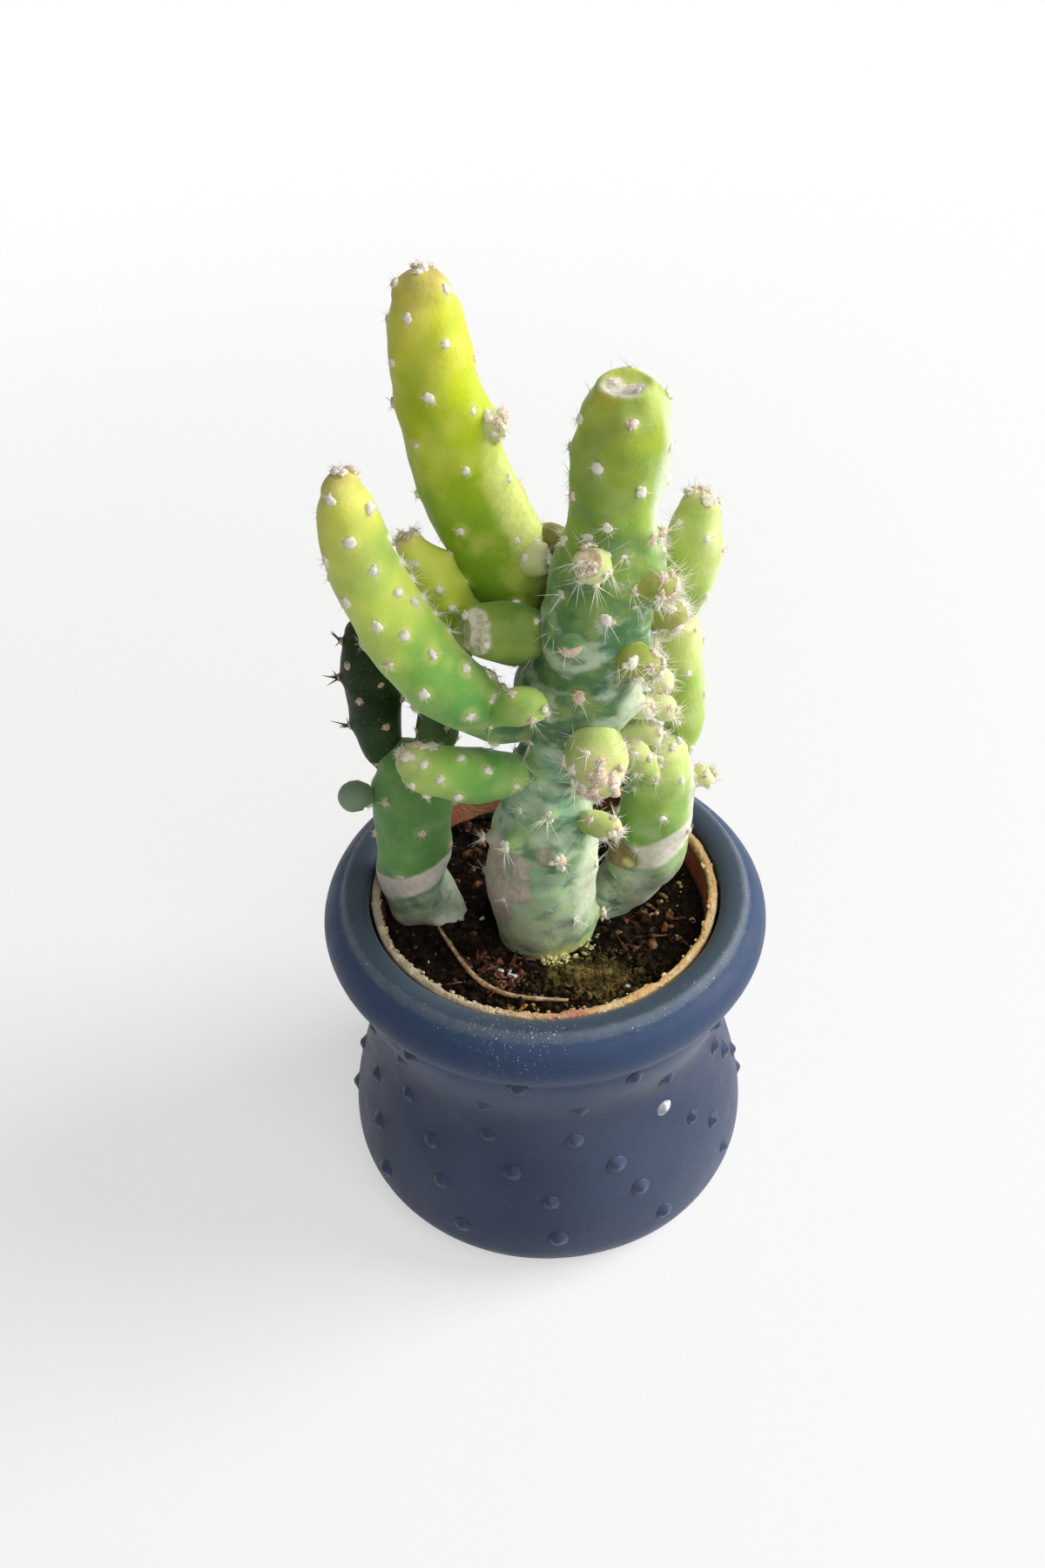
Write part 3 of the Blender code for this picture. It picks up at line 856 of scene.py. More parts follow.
FRESH = make_skin(
    "fresh_skin",
    ((0.0, (0.26, 0.44, 0.11)), (0.4, (0.38, 0.60, 0.13)), (0.8, (0.60, 0.76, 0.20)),
     (0.95, (0.74, 0.75, 0.26)), (1.0, (0.66, 0.50, 0.30))),
    warm=(0.76, 0.82, 0.30), cool=(0.13, 0.36, 0.04),
)
STUB_SKIN = make_skin(
    "stub_skin",
    (
        (0.0, (0.10, 0.24, 0.05)), (0.5, (0.20, 0.33, 0.05)), (0.8, (0.36, 0.44, 0.09)),
        (1.0, (0.42, 0.46, 0.18)),
    ),
    warm=(0.46, 0.50, 0.12), cool=(0.12, 0.24, 0.04),
)
SIDE_SKIN = make_skin(
    "side_skin",
    (
        (0.0, (0.16, 0.36, 0.16)), (0.3, (0.15, 0.42, 0.09)), (0.7, (0.34, 0.58, 0.11)),
        (1.0, (0.62, 0.62, 0.26)),
    ),
    warm=(0.62, 0.74, 0.22), cool=(0.09, 0.32, 0.06),
)
RIGHT_SKIN = make_skin(
    "right_skin",
    (
        (0.0, (0.28, 0.50, 0.09)), (0.4, (0.50, 0.68, 0.12)), (0.8, (0.72, 0.80, 0.24)),
        (1.0, (0.78, 0.64, 0.40)),
    ),
    warm=(0.88, 0.84, 0.48), cool=(0.26, 0.48, 0.05), wax_and_painted_light=(0.86, 0.82, 0.60),
)
TRUNK_SKIN = make_skin(
    "trunk_skin",
    (
        # The lowest stops, at the foot, are pale waxy green made paler still as painted light, which
        # lifts the downward-facing foot out of its own shade.
        (0.0, (0.56, 0.68, 0.26)), (0.12, (0.54, 0.74, 0.38)), (0.28, (0.40, 0.62, 0.38)),
        (0.42, (0.25, 0.46, 0.28)), (0.50, (0.12, 0.26, 0.10)), (0.58, (0.08, 0.18, 0.07)),
        (0.66, (0.10, 0.24, 0.08)), (0.73, (0.17, 0.33, 0.08)), (0.80, (0.32, 0.48, 0.05)),
        (0.9, (0.40, 0.51, 0.04)), (1.0, (0.50, 0.56, 0.08)),
    ),
    warm=(0.50, 0.62, 0.16), cool=(0.09, 0.24, 0.09), roughness=0.5, cork_and_painted_shade=(0.66, 0.57, 0.46),
    wax_and_painted_light=(0.68, 0.76, 0.54), lime=(0.60, 0.56, 0.05), marbled=0.7, marbled_to=0.74,
)
MOUND_SKIN = make_skin(
    "mound_skin", ((0.0, (0.09, 0.22, 0.10)), (0.6, (0.14, 0.30, 0.12)), (1.0, (0.30, 0.44, 0.16))),
    warm=(0.40, 0.52, 0.22), cool=(0.09, 0.24, 0.10), cork_and_painted_shade=(0.80, 0.62, 0.50), marbled=0.5,
    marbled_to=2.0,
)
WAXY = make_skin(
    "waxy_skin",
    (
        (0.0, (0.32, 0.45, 0.37)), (0.34, (0.34, 0.46, 0.34)), (0.45, (0.18, 0.40, 0.11)),
        (0.8, (0.17, 0.40, 0.10)), (1.0, (0.18, 0.40, 0.10)),
    ),
    warm=(0.34, 0.54, 0.20), cool=(0.08, 0.23, 0.05), roughness=0.55, wax_and_painted_light=(0.95, 0.88, 0.78),
    marbled=0.9, marbled_to=0.38,
)
RIGHT_BASE_SKIN = make_skin(
    "right_base_skin",
    (
        (0.0, (0.40, 0.50, 0.30)), (0.38, (0.36, 0.47, 0.26)), (0.52, (0.20, 0.40, 0.07)),
        (0.8, (0.44, 0.64, 0.13)), (1.0, (0.76, 0.76, 0.34)),
    ),
    warm=(0.70, 0.78, 0.38), cool=(0.13, 0.33, 0.04), roughness=0.5, cork_and_painted_shade=(0.40, 0.30, 0.15),
    wax_and_painted_light=(0.82, 0.78, 0.66), marbled=0.9, marbled_to=0.40,
)
# For the back stem, which stands in shade behind the others: dark green of its own, darkened further as
# painted shade.
DEEP_SHADE_SKIN = make_skin(
    "deep_shade_skin",
    ((0.0, (0.055, 0.11, 0.025)), (0.5, (0.07, 0.13, 0.03)), (1.0, (0.10, 0.14, 0.04))),
    warm=(0.10, 0.16, 0.04), cool=(0.03, 0.07, 0.013), sheen=0.03, gloss=0.15,
)
# For the dark stem, deepest in shade at the left: dark green of its own, darkened much further as painted
# shade.
DARKEST_SHADE_SKIN = make_skin(
    "darkest_shade_skin",
    ((0.0, (0.035, 0.085, 0.020)), (0.5, (0.018, 0.045, 0.012)), (0.9, (0.035, 0.055, 0.018)),
     (1.0, (0.16, 0.10, 0.05))),
    warm=(0.06, 0.10, 0.03), cool=(0.010, 0.025, 0.006), sheen=0.02, gloss=0.1,
)
BUD = make_skin(
    "bud_skin",
    ((0.0, (0.28, 0.46, 0.10)), (0.5, (0.50, 0.62, 0.17)), (0.85, (0.72, 0.72, 0.32)),
     (1.0, (0.76, 0.60, 0.40))),
    warm=(0.84, 0.78, 0.42), cool=(0.34, 0.50, 0.10),
)
CREAM_BUD = make_skin(
    "cream_bud_skin",
    (
        (0.0, (0.36, 0.48, 0.10)), (0.4, (0.54, 0.66, 0.22)), (0.8, (0.76, 0.76, 0.40)),
        (1.0, (0.86, 0.72, 0.52)),
    ),
    warm=(0.88, 0.84, 0.52), cool=(0.42, 0.54, 0.14), roughness=0.7, cork_and_painted_shade=(0.96, 0.80, 0.52),
)
OLIVE = make_skin(
    "olive_skin",
    (
        (0.0, (0.20, 0.25, 0.035)), (0.5, (0.30, 0.36, 0.06)), (0.85, (0.46, 0.46, 0.13)),
        (1.0, (0.64, 0.50, 0.30)),
    ),
    warm=(0.58, 0.56, 0.18), cool=(0.17, 0.24, 0.03), roughness=0.6,
)
BROWN_BUD = make_skin(
    "brown_bud_skin",
    ((0.0, (0.20, 0.24, 0.05)), (0.5, (0.26, 0.22, 0.07)), (1.0, (0.40, 0.28, 0.14))),
    warm=(0.44, 0.38, 0.14), cool=(0.12, 0.14, 0.03), roughness=0.7,
)
GREY_BUD = make_skin(
    "grey_bud_skin",
    ((0.0, (0.18, 0.32, 0.08)), (0.4, (0.22, 0.30, 0.17)), (1.0, (0.36, 0.45, 0.33))),
    warm=(0.30, 0.36, 0.20), cool=(0.20, 0.30, 0.20), roughness=0.65,
)


def alike(places, **facts):
    """The same facts for areoles at several (along, angle) places."""
    return [(place, facts) for place in places]


def trunk_areoles():
    """The trunk's areoles where it shows, as ((along, angle), facts)."""
    plain = (
        (122, 2), (115, -32), (112, 22), (108.5, -68), (117.5, 62), (120.5, -74), (111, 88), (123, 98),
        (114, -106),
    )
    starry = ((106, -12), (103.5, -34), (101.5, 14), (100.6, -72))
    discs = ((90.9, 4), (76.3, -12), (63, 12))
    loose = ((93, -50), (86.6, -52), (80, -74), (55.4, -30), (70, 12), (66.8, 34), (61, -62), (83, 24))
    spiny = ((57, 24), (45, 60), (51, -64))
    flank = (
        (104, 46), (103, 76), (99.5, 78), (98, 56), (95, 86), (91, 70), (83.3, 74), (82, 84), (78, 78),
        (73, 62),
    )
    return [
        *alike(plain, size=2.1),
        *alike(starry, size=1.9, spines=5, reach=2.4, droop=0.7),
        *alike(discs, size=2.6, spines=2, reach=3.8, droop=1.6, wool="mixed", heap=4),
        *alike(loose, size=1.6, spines=5, reach=4.0, droop=0.3),
        *alike(spiny, size=2.0, spines=10, reach=4.0, swell=0.5),
        *alike(flank, size=2.5, spines=8, reach=3.6, swell=0.9, wool="mixed", heap=5),
        *alike([(48.5, -4)], size=2.4, spines=14, reach=4.6, swell=2.0, droop=0.2, heap=5),
        *alike([(40.5, 10)], size=2.8, spines=6, reach=2.8, swell=2.4, heap=7),
        *alike([(41.0, -41)], size=2.4, spines=10, reach=4.0, swell=2.4, droop=0.3, heap=5),
        *alike([(37, -80)], size=1.9, spines=6, reach=3.0, swell=1.6),
        *alike([(28, -40)], size=1.8, spines=3, reach=2.4, wool="tan"),
        *alike([(16, 84)], size=2.6, swell=0.9, heap=7),
    ]


TRUNK_MARKS = (
    Mark("cork_and_painted_shade", 30, 12, angle=-64, spread=38, strength=0.8),
    Mark("cork_and_painted_shade", 31, 3.6, angle=-24, spread=18, strength=0.62),
    Mark("cork_and_painted_shade", 36.5, 3.4, angle=-34, spread=24, strength=0.62),
    # Painted shade with some brown: a cork-coloured patch on the shaded left flank of the knob at along
    # 40.5.
    Mark("cork_and_painted_shade", 39.8, 2.4, angle=-3, spread=12, strength=0.56),
    Mark("wax_and_painted_light", 29, 14, angle=66, spread=42, strength=0.9),
    # Pale wax on the foot's front, strengthened as painted light to lift that downward-facing front out
    # of its shade.
    Mark("wax_and_painted_light", 21, 7, angle=0, spread=80, strength=0.6),
    Mark("wax_and_painted_light", 52, 10, angle=74, spread=36, strength=0.6),
    Mark("wax_and_painted_light", 73, 7, angle=60, spread=34, strength=0.8),
    Mark("wax_and_painted_light", 83, 5, angle=84, spread=28, strength=0.6),
    # Painted light: a pale patch on the trunk's upper right flank, where the light falls from the right.
    Mark("wax_and_painted_light", 113, 14, angle=70, spread=32, strength=0.8),
    Mark("lime", 13.5, 2.2, angle=20, spread=60, strength=0.62),
    Mark("lime", 126.2, 1.9, angle=-44, spread=34, strength=0.9),
    Mark("scar", 131.0, 5.0, angle=-30, spread=150, strength=1.35),
)

# Swellings: (along, angle, reach, height)
TRUNK_BULGES = (
    (84, -42, 3.4, 1.3), (73, 40, 5.0, 0.9), (72, -40, 5.0, 0.6), (60, 60, 5.0, -0.6),
    (98, 60, 4.5, 1.0), (92, 74, 4.5, 1.0), (81, 62, 4.0, 0.9), (52, -10, 6.0, 0.5),
    (18, 84, 5.0, -0.8), (99, -60, 5.0, -0.4), (70, -94, 6.5, 2.4),
)
LEFT_CROWN_BULGES = (
    (6.0, 72, 3.6, 3.0), (6.5, 22, 2.6, 0.9), (15.0, -50, 2.6, 0.6), (3.0, 84, 3.0, 2.0),
    (5.0, -10, 2.0, 0.8), (13.5, 24, 2.0, -0.7), (9.0, -30, 2.6, -0.9), (8.0, -80, 3.6, -1.4),
    (14.0, 78, 4.2, -1.9), (10.5, 40, 2.0, -0.7),
)
RIGHT_CROWN_BULGES = (
    (16.0, -70, 3.5, 1.1), (20.0, 10, 3.5, 0.7), (12.0, -30, 3.0, 0.8), (14.0, 40, 3.0, -0.5),
)
# Creases round the trunk: (along, depth, width)
TRUNK_FOLDS = (
    (89.0, 0.5, 1.5), (78.5, 0.7, 1.6), (66.0, 0.5, 2.4), (56.5, 0.5, 1.8), (43.5, 0.6, 1.6),
    (33.0, 0.4, 1.5),
)


def make_front_stems():
    """The trunk, the tall stem behind it and the curved arm."""
    grow(
        "trunk", TRUNK, TRUNK_SKIN, "old_stem", tip="cut", sides=96, spacing=2.6, phase=170, start=20,
        chosen=trunk_areoles(), lumps=0.75, swell=0.4, marks=TRUNK_MARKS, spines=3, reach=3.0,
        hair=0.13, bulges=TRUNK_BULGES, folds=TRUNK_FOLDS,
    )
    grow(
        "tall_stem", TALL_STEM, YOUNG, "young_stem", sides=60, spacing=2.25, phase=-30, start=1.0,
        size=2.0, crown=4, crown_spread=0.5, lumps=0.35, swell=0.4,
        bulges=((41, 78, 4.5, 1.1), (15, 60, 3.5, 0.8)),
        # Painted light: a pale patch on the lower right flank, which the trunk shades from the key lamp.
        marks=[Mark("wax_and_painted_light", 24, 20, angle=62, spread=44, strength=0.8)], heap=2,
    )
    face = (
        (59, -28), (56, 60), (52.5, 0), (49, -54), (47, 26), (49.5, 86), (41, 46), (43, -36),
        (37.5, 62), (34.5, 18), (38, -8), (28.5, 36), (31, -28), (22, 60), (24, -12), (16, 8),
    )
    edge = ((43.1, 96), (39.4, 98), (36.0, 88), (32.4, 90), (27.7, 93))
    tufts = [
        *alike(face, size=2.1, spines=3, reach=2.0, droop=0.5),
        *alike(edge, size=2.0, spines=9, reach=2.8, heap=4),
        *alike([(13.5, 56)], size=2.2, wool="mixed", heap=7, spines=6, reach=2.4),
        *alike([(14.5, 98)], size=2.6, wool="mixed", heap=9, spines=3, reach=2.4),
        *alike([(10.5, 112)], size=2.6, wool="mixed", heap=9),
    ]
    grow(
        "left_arm", LEFT_ARM, ARM_SKIN, "young_stem", sides=56, spacing=1.9, phase=222, start=3.0,
        chosen=tufts, crown=5, crown_wool="white", crown_spread=0.35, lumps=0.35, swell=0.4, size=2.3,
    )


def make_left_stems():
    """The waxy root stem at the left, what stands on it, and the stub and the pup on the trunk's left."""
    crown_marks = [Mark("wax_and_painted_light", 23.0, 2.5, lean=2.7, strength=1.4), Mark("wax_and_painted_light", 12, 7, strength=0.5)]
    grow(
        "left_base_stem", LEFT_BASE_STEM, WAXY, "old_stem", sides=64, spacing=2.9, phase=-20, start=25,
        size=1.7, lumps=0.7, swell=0.25, marks=crown_marks, wool="tan", bulges=LEFT_CROWN_BULGES,
    )
    grow(
        "back_stem", BACK_STEM, DEEP_SHADE_SKIN, "shaded_stem", sides=40, spacing=2.0, phase=40, size=1.4,
        wool="tan",
    )
    tufts = [
        *alike(((13, 16), (9.5, 18)), size=1.9, swell=0.4),
        *alike(((14.9, 95), (10.4, 97)), size=2.0, spines=12, reach=3.0, swell=0.6),
        *alike([(6.5, 92)], size=1.8, spines=5, reach=2.0, wool="tan"),
    ]
    grow(
        "back_finger", BACK_FINGER, FINGER, "young_stem", sides=44, spacing=2.4, phase=20, size=1.5,
        spines=7, reach=2.2, swell=0.6, crown=10, chosen=tufts,
    )
    tufts = [
        *alike(((28.7, -40), (21.6, -22), (15.6, 24)), size=1.9, wool="tan"),
        *alike(
            ((32.0, -80), (24.0, -80), (13.5, -80)), size=1.7, spines=3, reach=3.8, swell=0.3,
            droop=-0.3, wool="tan",
        ),
    ]
    grow(
        "dark_stem", DARK_STEM, DARKEST_SHADE_SKIN, "shaded_stem", sides=44, spacing=2.6, phase=-40, size=1.7,
        wool="tan", chosen=tufts, spine_skin=DARK_SPINE, hair=0.42, bristles=2,
    )
    stub_scar = Mark("scar", 15.6, 4.8, angle=24, spread=80, strength=1.5)
    grow(
        "cut_stub", CUT_STUB, STUB_SKIN, "fresh_stem", tip="cut", sides=48, spacing=3.2, phase=60,
        size=1.6, lumps=0.5, marks=[stub_scar],
    )
    face = (
        (22, 106), (22.3, 44), (18.8, 22), (10.2, 52), (15, -10), (21.5, -24), (19.3, -50), (15.7, 72),
    )
    tufts = [
        *alike(face, size=1.8, spines=1, reach=1.8),
        *alike([(5.5, 8)], size=1.8, spines=7, reach=3.0),
        *alike([(24.5, 104)], size=3.2, wool="mixed", heap=9),
        *alike([(25.5, 30)], size=2.4, heap=4),
        *alike([(20.5, 118)], size=2.8, wool="mixed", heap=8),
    ]
    grow(
        "side_pup", SIDE_PUP, SIDE_SKIN, "fresh_stem", sides=44, spacing=3.2, phase=20, size=1.7,
        spines=2, reach=1.8, chosen=tufts, crown=7, crown_spread=0.8,
    )


def make_right_stems():
    """The root stem at the right and the two segments that stand on it."""
    marks = [
        Mark("wax_and_painted_light", 24.0, 3.2, lean=4.1, strength=1.3),
        Mark("wax_and_painted_light", 14, 6, strength=0.5),
        Mark("wax_and_painted_light", 35, 12, angle=80, spread=38, strength=0.7),
        Mark("cork_and_painted_shade", 20.5, 4.2, angle=-58, spread=34, strength=1.0),
        Mark("lime", 19.5, 1.6, angle=-40, spread=14, strength=0.8),
    ]
    grow(
        "right_base_stem", RIGHT_BASE_STEM, RIGHT_BASE_SKIN, "fresh_stem", sides=64, spacing=2.3,
        phase=-34, start=24, size=1.7, lumps=0.55, bulges=RIGHT_CROWN_BULGES, spines=3, reach=2.2,
        crown=12, crown_spread=1.0, marks=marks,
    )
    tufts = [
        *alike([(29.5, -50)], size=2.6, heap=9, wool="mixed", spines=8, reach=3.4),
        *alike([(25.5, -70)], size=2.4, heap=8, wool="mixed", spines=8, reach=3.0),
    ]
    grow(
        "right_mid_stem", RIGHT_MID_STEM, RIGHT_SKIN, "fresh_stem", sides=44, spacing=2.6, phase=30,
        size=1.5, marks=[Mark("wax_and_painted_light", 22, 12, angle=60, spread=36, strength=0.5)], chosen=tufts,
    )
    tufts = [
        *alike(((16.1, -64), (19.3, -54)), size=2.0, spines=8, reach=3.6),
        *alike([(8.4, -44)], size=2.4, heap=8, wool="mixed", spines=8, reach=3.4),
    ]
    grow(
        "right_top_stem", RIGHT_TOP_STEM, RIGHT_SKIN, "fresh_stem", sides=48, spacing=1.8, phase=-44,
        size=1.8, spines=5, reach=2.6, crown=9, lumps=0.3, crown_spread=0.8,
        marks=[Mark("wax_and_painted_light", 14, 10, angle=50, spread=46, strength=0.5)], chosen=tufts,
    )


BUD_FACTS = {
    "sides": 40, "spacing": 1.5, "size": 1.8, "crown": 7, "crown_spread": 0.8, "spines": 6,
    "reach": 2.8, "lumps": 0.35, "start": 2.0, "wool": "mixed", "heap": 3, "swell": 0.5,
}


def grow_bud(name, knots, skin, slot="bud", **facts):
    """A short segment that has pushed out of an areole, woolly at its tip unless the facts differ."""
    grow(name, knots, skin, slot, **{**BUD_FACTS, **facts})


def make_front_pup():
    """The pup that points to the front, ringed with tufts round a big tan one at its tip."""
    tufts = [
        *alike([(10.0, 14)], size=1.7, spines=9, reach=3.4),
        *alike([(7.1, 36)], size=1.8, spines=9, reach=3.8),
        *alike([(13.6, -8)], size=3.5, wool="tan", heap=16, spines=5),
        *alike([(11.0, -12)], size=2.1, spines=8, reach=3.0, wool="mixed"),
        *alike([(6.5, -30)], size=1.8, spines=5),
        *alike([(9.0, -44)], size=2.0, spines=4),
        *alike([(14.9, 44)], size=1.9, heap=5),
        *alike([(14.5, -60)], size=2.2, heap=5, spines=6),
        *alike([(12, -78)], size=2.0, heap=5, spines=6),
        *alike([(9, -60)], size=2.0, heap=4, spines=6),
        *alike([(13.2, 72)], size=2.1, heap=5, spines=6),
        *alike([(11.2, 58)], size=2.0, heap=5, spines=5),
        *alike([(9.2, 80)], size=2.1, heap=5, spines=7),
        *alike([(6.2, 70)], size=1.9, heap=4, spines=6),
    ]
    grow_bud(
        "front_pup", FRONT_PUP, BUD, sides=56, crown=8, crown_spread=0.6, phase=36, reach=2.4,
        spacing=2.2, lumps=0.15, swell=0.25, bulges=((6.5, 0, 3.0, 1.5), (10.0, -60, 3.0, 0.5)),
        chosen=tufts,
    )


def make_buds():
    """The buds and the small stubs, each on the stem that carries it."""
    grow_bud("low_pup", LOW_PUP, BUD, phase=80)
    tufts = [
        *alike([(7, -88)], size=1.9, heap=5, wool="mixed"),
        *alike([(9, -14)], size=2.0, wool="tan", spines=4, reach=3.2, droop=0.8),
    ]
    grow_bud(
        "left_arm_pup", LEFT_ARM_PUP, FRESH, spacing=2.4, spines=4, reach=3.0, crown=2, start=0.5,
        chosen=tufts,
    )
    grow_bud("round_pup", ROUND_PUP, GREY_BUD, "old_stem", spacing=6.0, crown=0, spines=0, swell=0.2)
    grow_bud("right_nub", RIGHT_NUB, CREAM_BUD, crown=6)
    grow_bud("lobe_bud", LOBE_BUD, BUD, phase=24, crown=8)
    grow_bud("tall_stem_bud", TALL_STEM_BUD, CREAM_BUD, spines=0, crown=9, crown_spread=1.0)
    grow_bud(
        "tall_stem_stub", TALL_STEM_STUB, CREAM_BUD, tip="cut", crown=2, spines=0, crown_wool="white",
        marks=[Mark("scar", 9.5, 2.0)],
    )
    grow_bud("back_bud", BACK_BUD, BROWN_BUD, wool="tan", crown_wool="tan")
    tufts = alike(
        [(4.2, angle) for angle in (-120, -60, -5, 50, 110, 180)], size=1.6, spines=6, reach=4.6,
    )
    grow_bud(
        "crown_bud", CROWN_BUD, CREAM_BUD, tip="cut", crown=20, crown_spread=0.9, size=1.5, spines=4,
        reach=4.6, bristles=8, lumps=0.5, marks=[Mark("cork_and_painted_shade", 8.5, 2.2, strength=0.8)], chosen=tufts,
    )
    mound_scar = Mark("cork_and_painted_shade", 4.2, 1.0, angle=-25, spread=62, strength=1.4)
    grow_bud(
        "scarred_bud", SCARRED_BUD, MOUND_SKIN, "old_stem", crown=0, spines=5, reach=3.8, spacing=3.4,
        phase=110, size=1.5, swell=0.2, lumps=0.8, marks=[mound_scar],
    )
    olive = {"crown": 12, "size": 2.3, "heap": 5}
    grow_bud("upper_right_bud", UPPER_RIGHT_BUD, OLIVE, spines=9, reach=4.0, **olive)
    grow_bud("mid_right_bud", MID_RIGHT_BUD, OLIVE, reach=3.4, **olive)
    tufts = [
        *alike([(3.7, -36)], size=2.2, spines=12, reach=4.8, heap=6),
        *alike([(5.2, 20)], size=2.4, spines=10, reach=4.6, heap=6),
        *alike([(6.0, -40)], size=2.2, spines=8, reach=4.0, heap=6, wool="mixed"),
    ]
    grow_bud("olive_bud", OLIVE_BUD, OLIVE, spines=9, reach=4.4, chosen=tufts, **olive)
    for number, knots in enumerate(PALE_BUDS, 1):
        grow_bud(f"pale_bud_{number}", knots, CREAM_BUD, phase=50.0 * number)


def make_plant():
    make_front_stems()
    make_left_stems()
    make_right_stems()
    make_front_pup()
    make_buds()


# ---------------------------------------------------------------- pots

GLAZE_DARK = (0.028, 0.043, 0.096)
GLAZE_LIGHT = (0.047, 0.065, 0.124)
GLAZE_ROLL = (0.031, 0.062, 0.138)
GLAZE_SHELF = (0.044, 0.066, 0.090)
# In metres: a splash of chalk on the collar, and a reddish stain on the nursery pot's rim
SPLASH_SPOT = (-0.006, -0.037, 0.0715)
STAIN_SPOT = (0.0039, -0.0323, 0.0695)


def make_glaze(name="slate_glaze", chalk=0.0, gloss=0.16, rough=(0.42, 0.54)):
    """Satin slate-blue glaze with faint throwing lines, dust and chalky specks."""
    paint = Paint(name, Specular_IOR_Level=gloss, Sheen_Weight=0.12, Sheen_Roughness=0.5)
    broad = paint.span(paint.noise(26, 2), 0.35, 0.68)
    colour = paint.mix(broad, GLAZE_DARK, GLAZE_LIGHT)
    colour = paint.mix(paint.span(paint.value("roll"), 0.1, 0.9, 0.0, 0.8), colour, GLAZE_ROLL)
    colour = paint.mix(paint.span(paint.value("shelf"), 0.2, 0.8, 0.0, 0.85), colour, GLAZE_SHELF)
    x, y, _ = paint.node("SeparateXYZ", paint.place).outputs
    bearing = paint.times(paint.math("ARCTAN2", y, x), 3.0)
    ring = paint.node("CombineXYZ", bearing, paint.times(paint.value("outline"), 2.4)).outputs[0]
    lines = paint.node("TexNoise", ring).outputs["Fac"]
    colour = paint.mix(paint.span(lines, 0.48, 0.75, 0.0, 0.16), colour, (0.15, 0.18, 0.24))
    worn = paint.plus(paint.value("crest"), paint.times(paint.noise(2.2, 5), 0.6))
    worn = paint.plus(worn, paint.times(lines, 0.35))
    colour = paint.mix(paint.span(worn, 0.8, 1.7, 0.0, 0.5), colour, (0.22, 0.27, 0.31))
    splashed = paint.span(paint.distance(SPLASH_SPOT), 0.003, 0.015, 0.05, 0.0)
    dust = paint.span(paint.plus(paint.noise(0.42, 2), splashed), 0.69, 0.73)
    dusty = paint.span(paint.plus(paint.value("crest"), paint.noise(9)), 0.62, 1.3, 0.05, 1.0)
    dusty = paint.math("MAXIMUM", dusty, paint.times(splashed, 14.0))
    colour = paint.mix(paint.times(dust, dusty), colour, (0.62, 0.64, 0.62))
    if chalk:
        chips = paint.span(paint.noise(1.2, 3), 0.35, 0.5, chalk, 0.4)
        colour = paint.mix(chips, colour, (0.84, 0.85, 0.84))
    height = paint.plus(paint.times(lines, 0.7), paint.noise(0.8, 3))
    rough = paint.span(paint.noise(5, 3), 0.3, 0.7, *rough)
    return paint.finish(colour, height, 0.05, rough)


def make_liner_plastic():
    """Terracotta-coloured plastic with a chalky, flaking crust on its rim."""
    paint = Paint("nursery_plastic", Roughness=0.75)
    stain = paint.span(paint.noise(8, 3), 0.35, 0.65)
    wall = paint.mix(stain, (0.26, 0.050, 0.020), (0.36, 0.16, 0.060))
    colour = paint.mix(paint.span(paint.value("rim"), 0.3, 0.8), wall, rim_colour(paint))
    grain = paint.noise(0.6, 4)
    colour = paint.mix(paint.span(grain, 0.3, 0.5, 0.45, 0.0), colour, (0.16, 0.10, 0.05))
    return paint.finish(colour, grain, 0.3)


def rim_colour(paint):
    """Greyish beige at the left, ochre at the right, with pale and reddish patches."""
    side = paint.node("SeparateXYZ", paint.place).outputs["X"]
    colour = paint.mix(paint.span(side, -0.024, 0.010), (0.46, 0.38, 0.27), (0.70, 0.44, 0.18))
    colour = paint.mix(paint.span(paint.noise(2.6, 3), 0.48, 0.7, 0.0, 0.8), colour, (0.76, 0.62, 0.40))
    stained = paint.plus(paint.distance(STAIN_SPOT), paint.times(paint.noise(1.6, 3), 0.006))
    return paint.mix(paint.span(stained, 0.005, 0.010, 0.75, 0.0), colour, (0.50, 0.20, 0.13))


def collar_outline():
    """The cover pot's outer outline from the mouth's edge down to the base, as (radius, height)."""
    centre = (COLLAR_RADIUS - COLLAR_ROLL, POT_HEIGHT - ROLL_DROP - COLLAR_ROLL)
    lip = ((0.0, 1.6), (0.3, 0.9), (0.9, 0.45), (2.0, 0.1), (3.2, 0.0))
    points = [(MOUTH_RADIUS + out, POT_HEIGHT - down) for out, down in lip]
    points += [(CREST_RADIUS - 0.5, POT_HEIGHT - 0.15), (CREST_RADIUS, POT_HEIGHT - 0.5)]
    points += arc(centre, COLLAR_ROLL, 68, -55, 26)
    points += eased(points[-1], (WAIST_RADIUS, WAIST_HEIGHT), 14)
    points += eased((WAIST_RADIUS, WAIST_HEIGHT), (BELLY_RADIUS, BELLY_HEIGHT), 22)
    steps = 14
    for i in range(1, steps + 1):
        angle = TURN / 4 * i / steps
        radius = BASE_RADIUS + (BELLY_RADIUS - BASE_RADIUS) * math.cos(angle)
        points.append((radius, BELLY_HEIGHT * (1 - math.sin(angle))))
    return points


def turned_pot(name, outline, columns, material, layers, wobble):
    """A pot turned from a closed outline.

    wobble(spot, radius, height) gives a corner's spot and its values for the layers.
    """
    reach = [0.0]
    for a, b in zip(outline, outline[1:]):
        reach.append(reach[-1] + math.dist(a, b))

    def place(angle, row):
        radius, height = outline[row]
        spot, values = wobble(around(radius, angle, height), radius, height)
        return spot, (reach[row], *values)

    shape = rolled_grid(columns, len(outline) - 1, place, ("outline", *layers))
    add_piece(name + "_body", shape, [material], replaces=name)


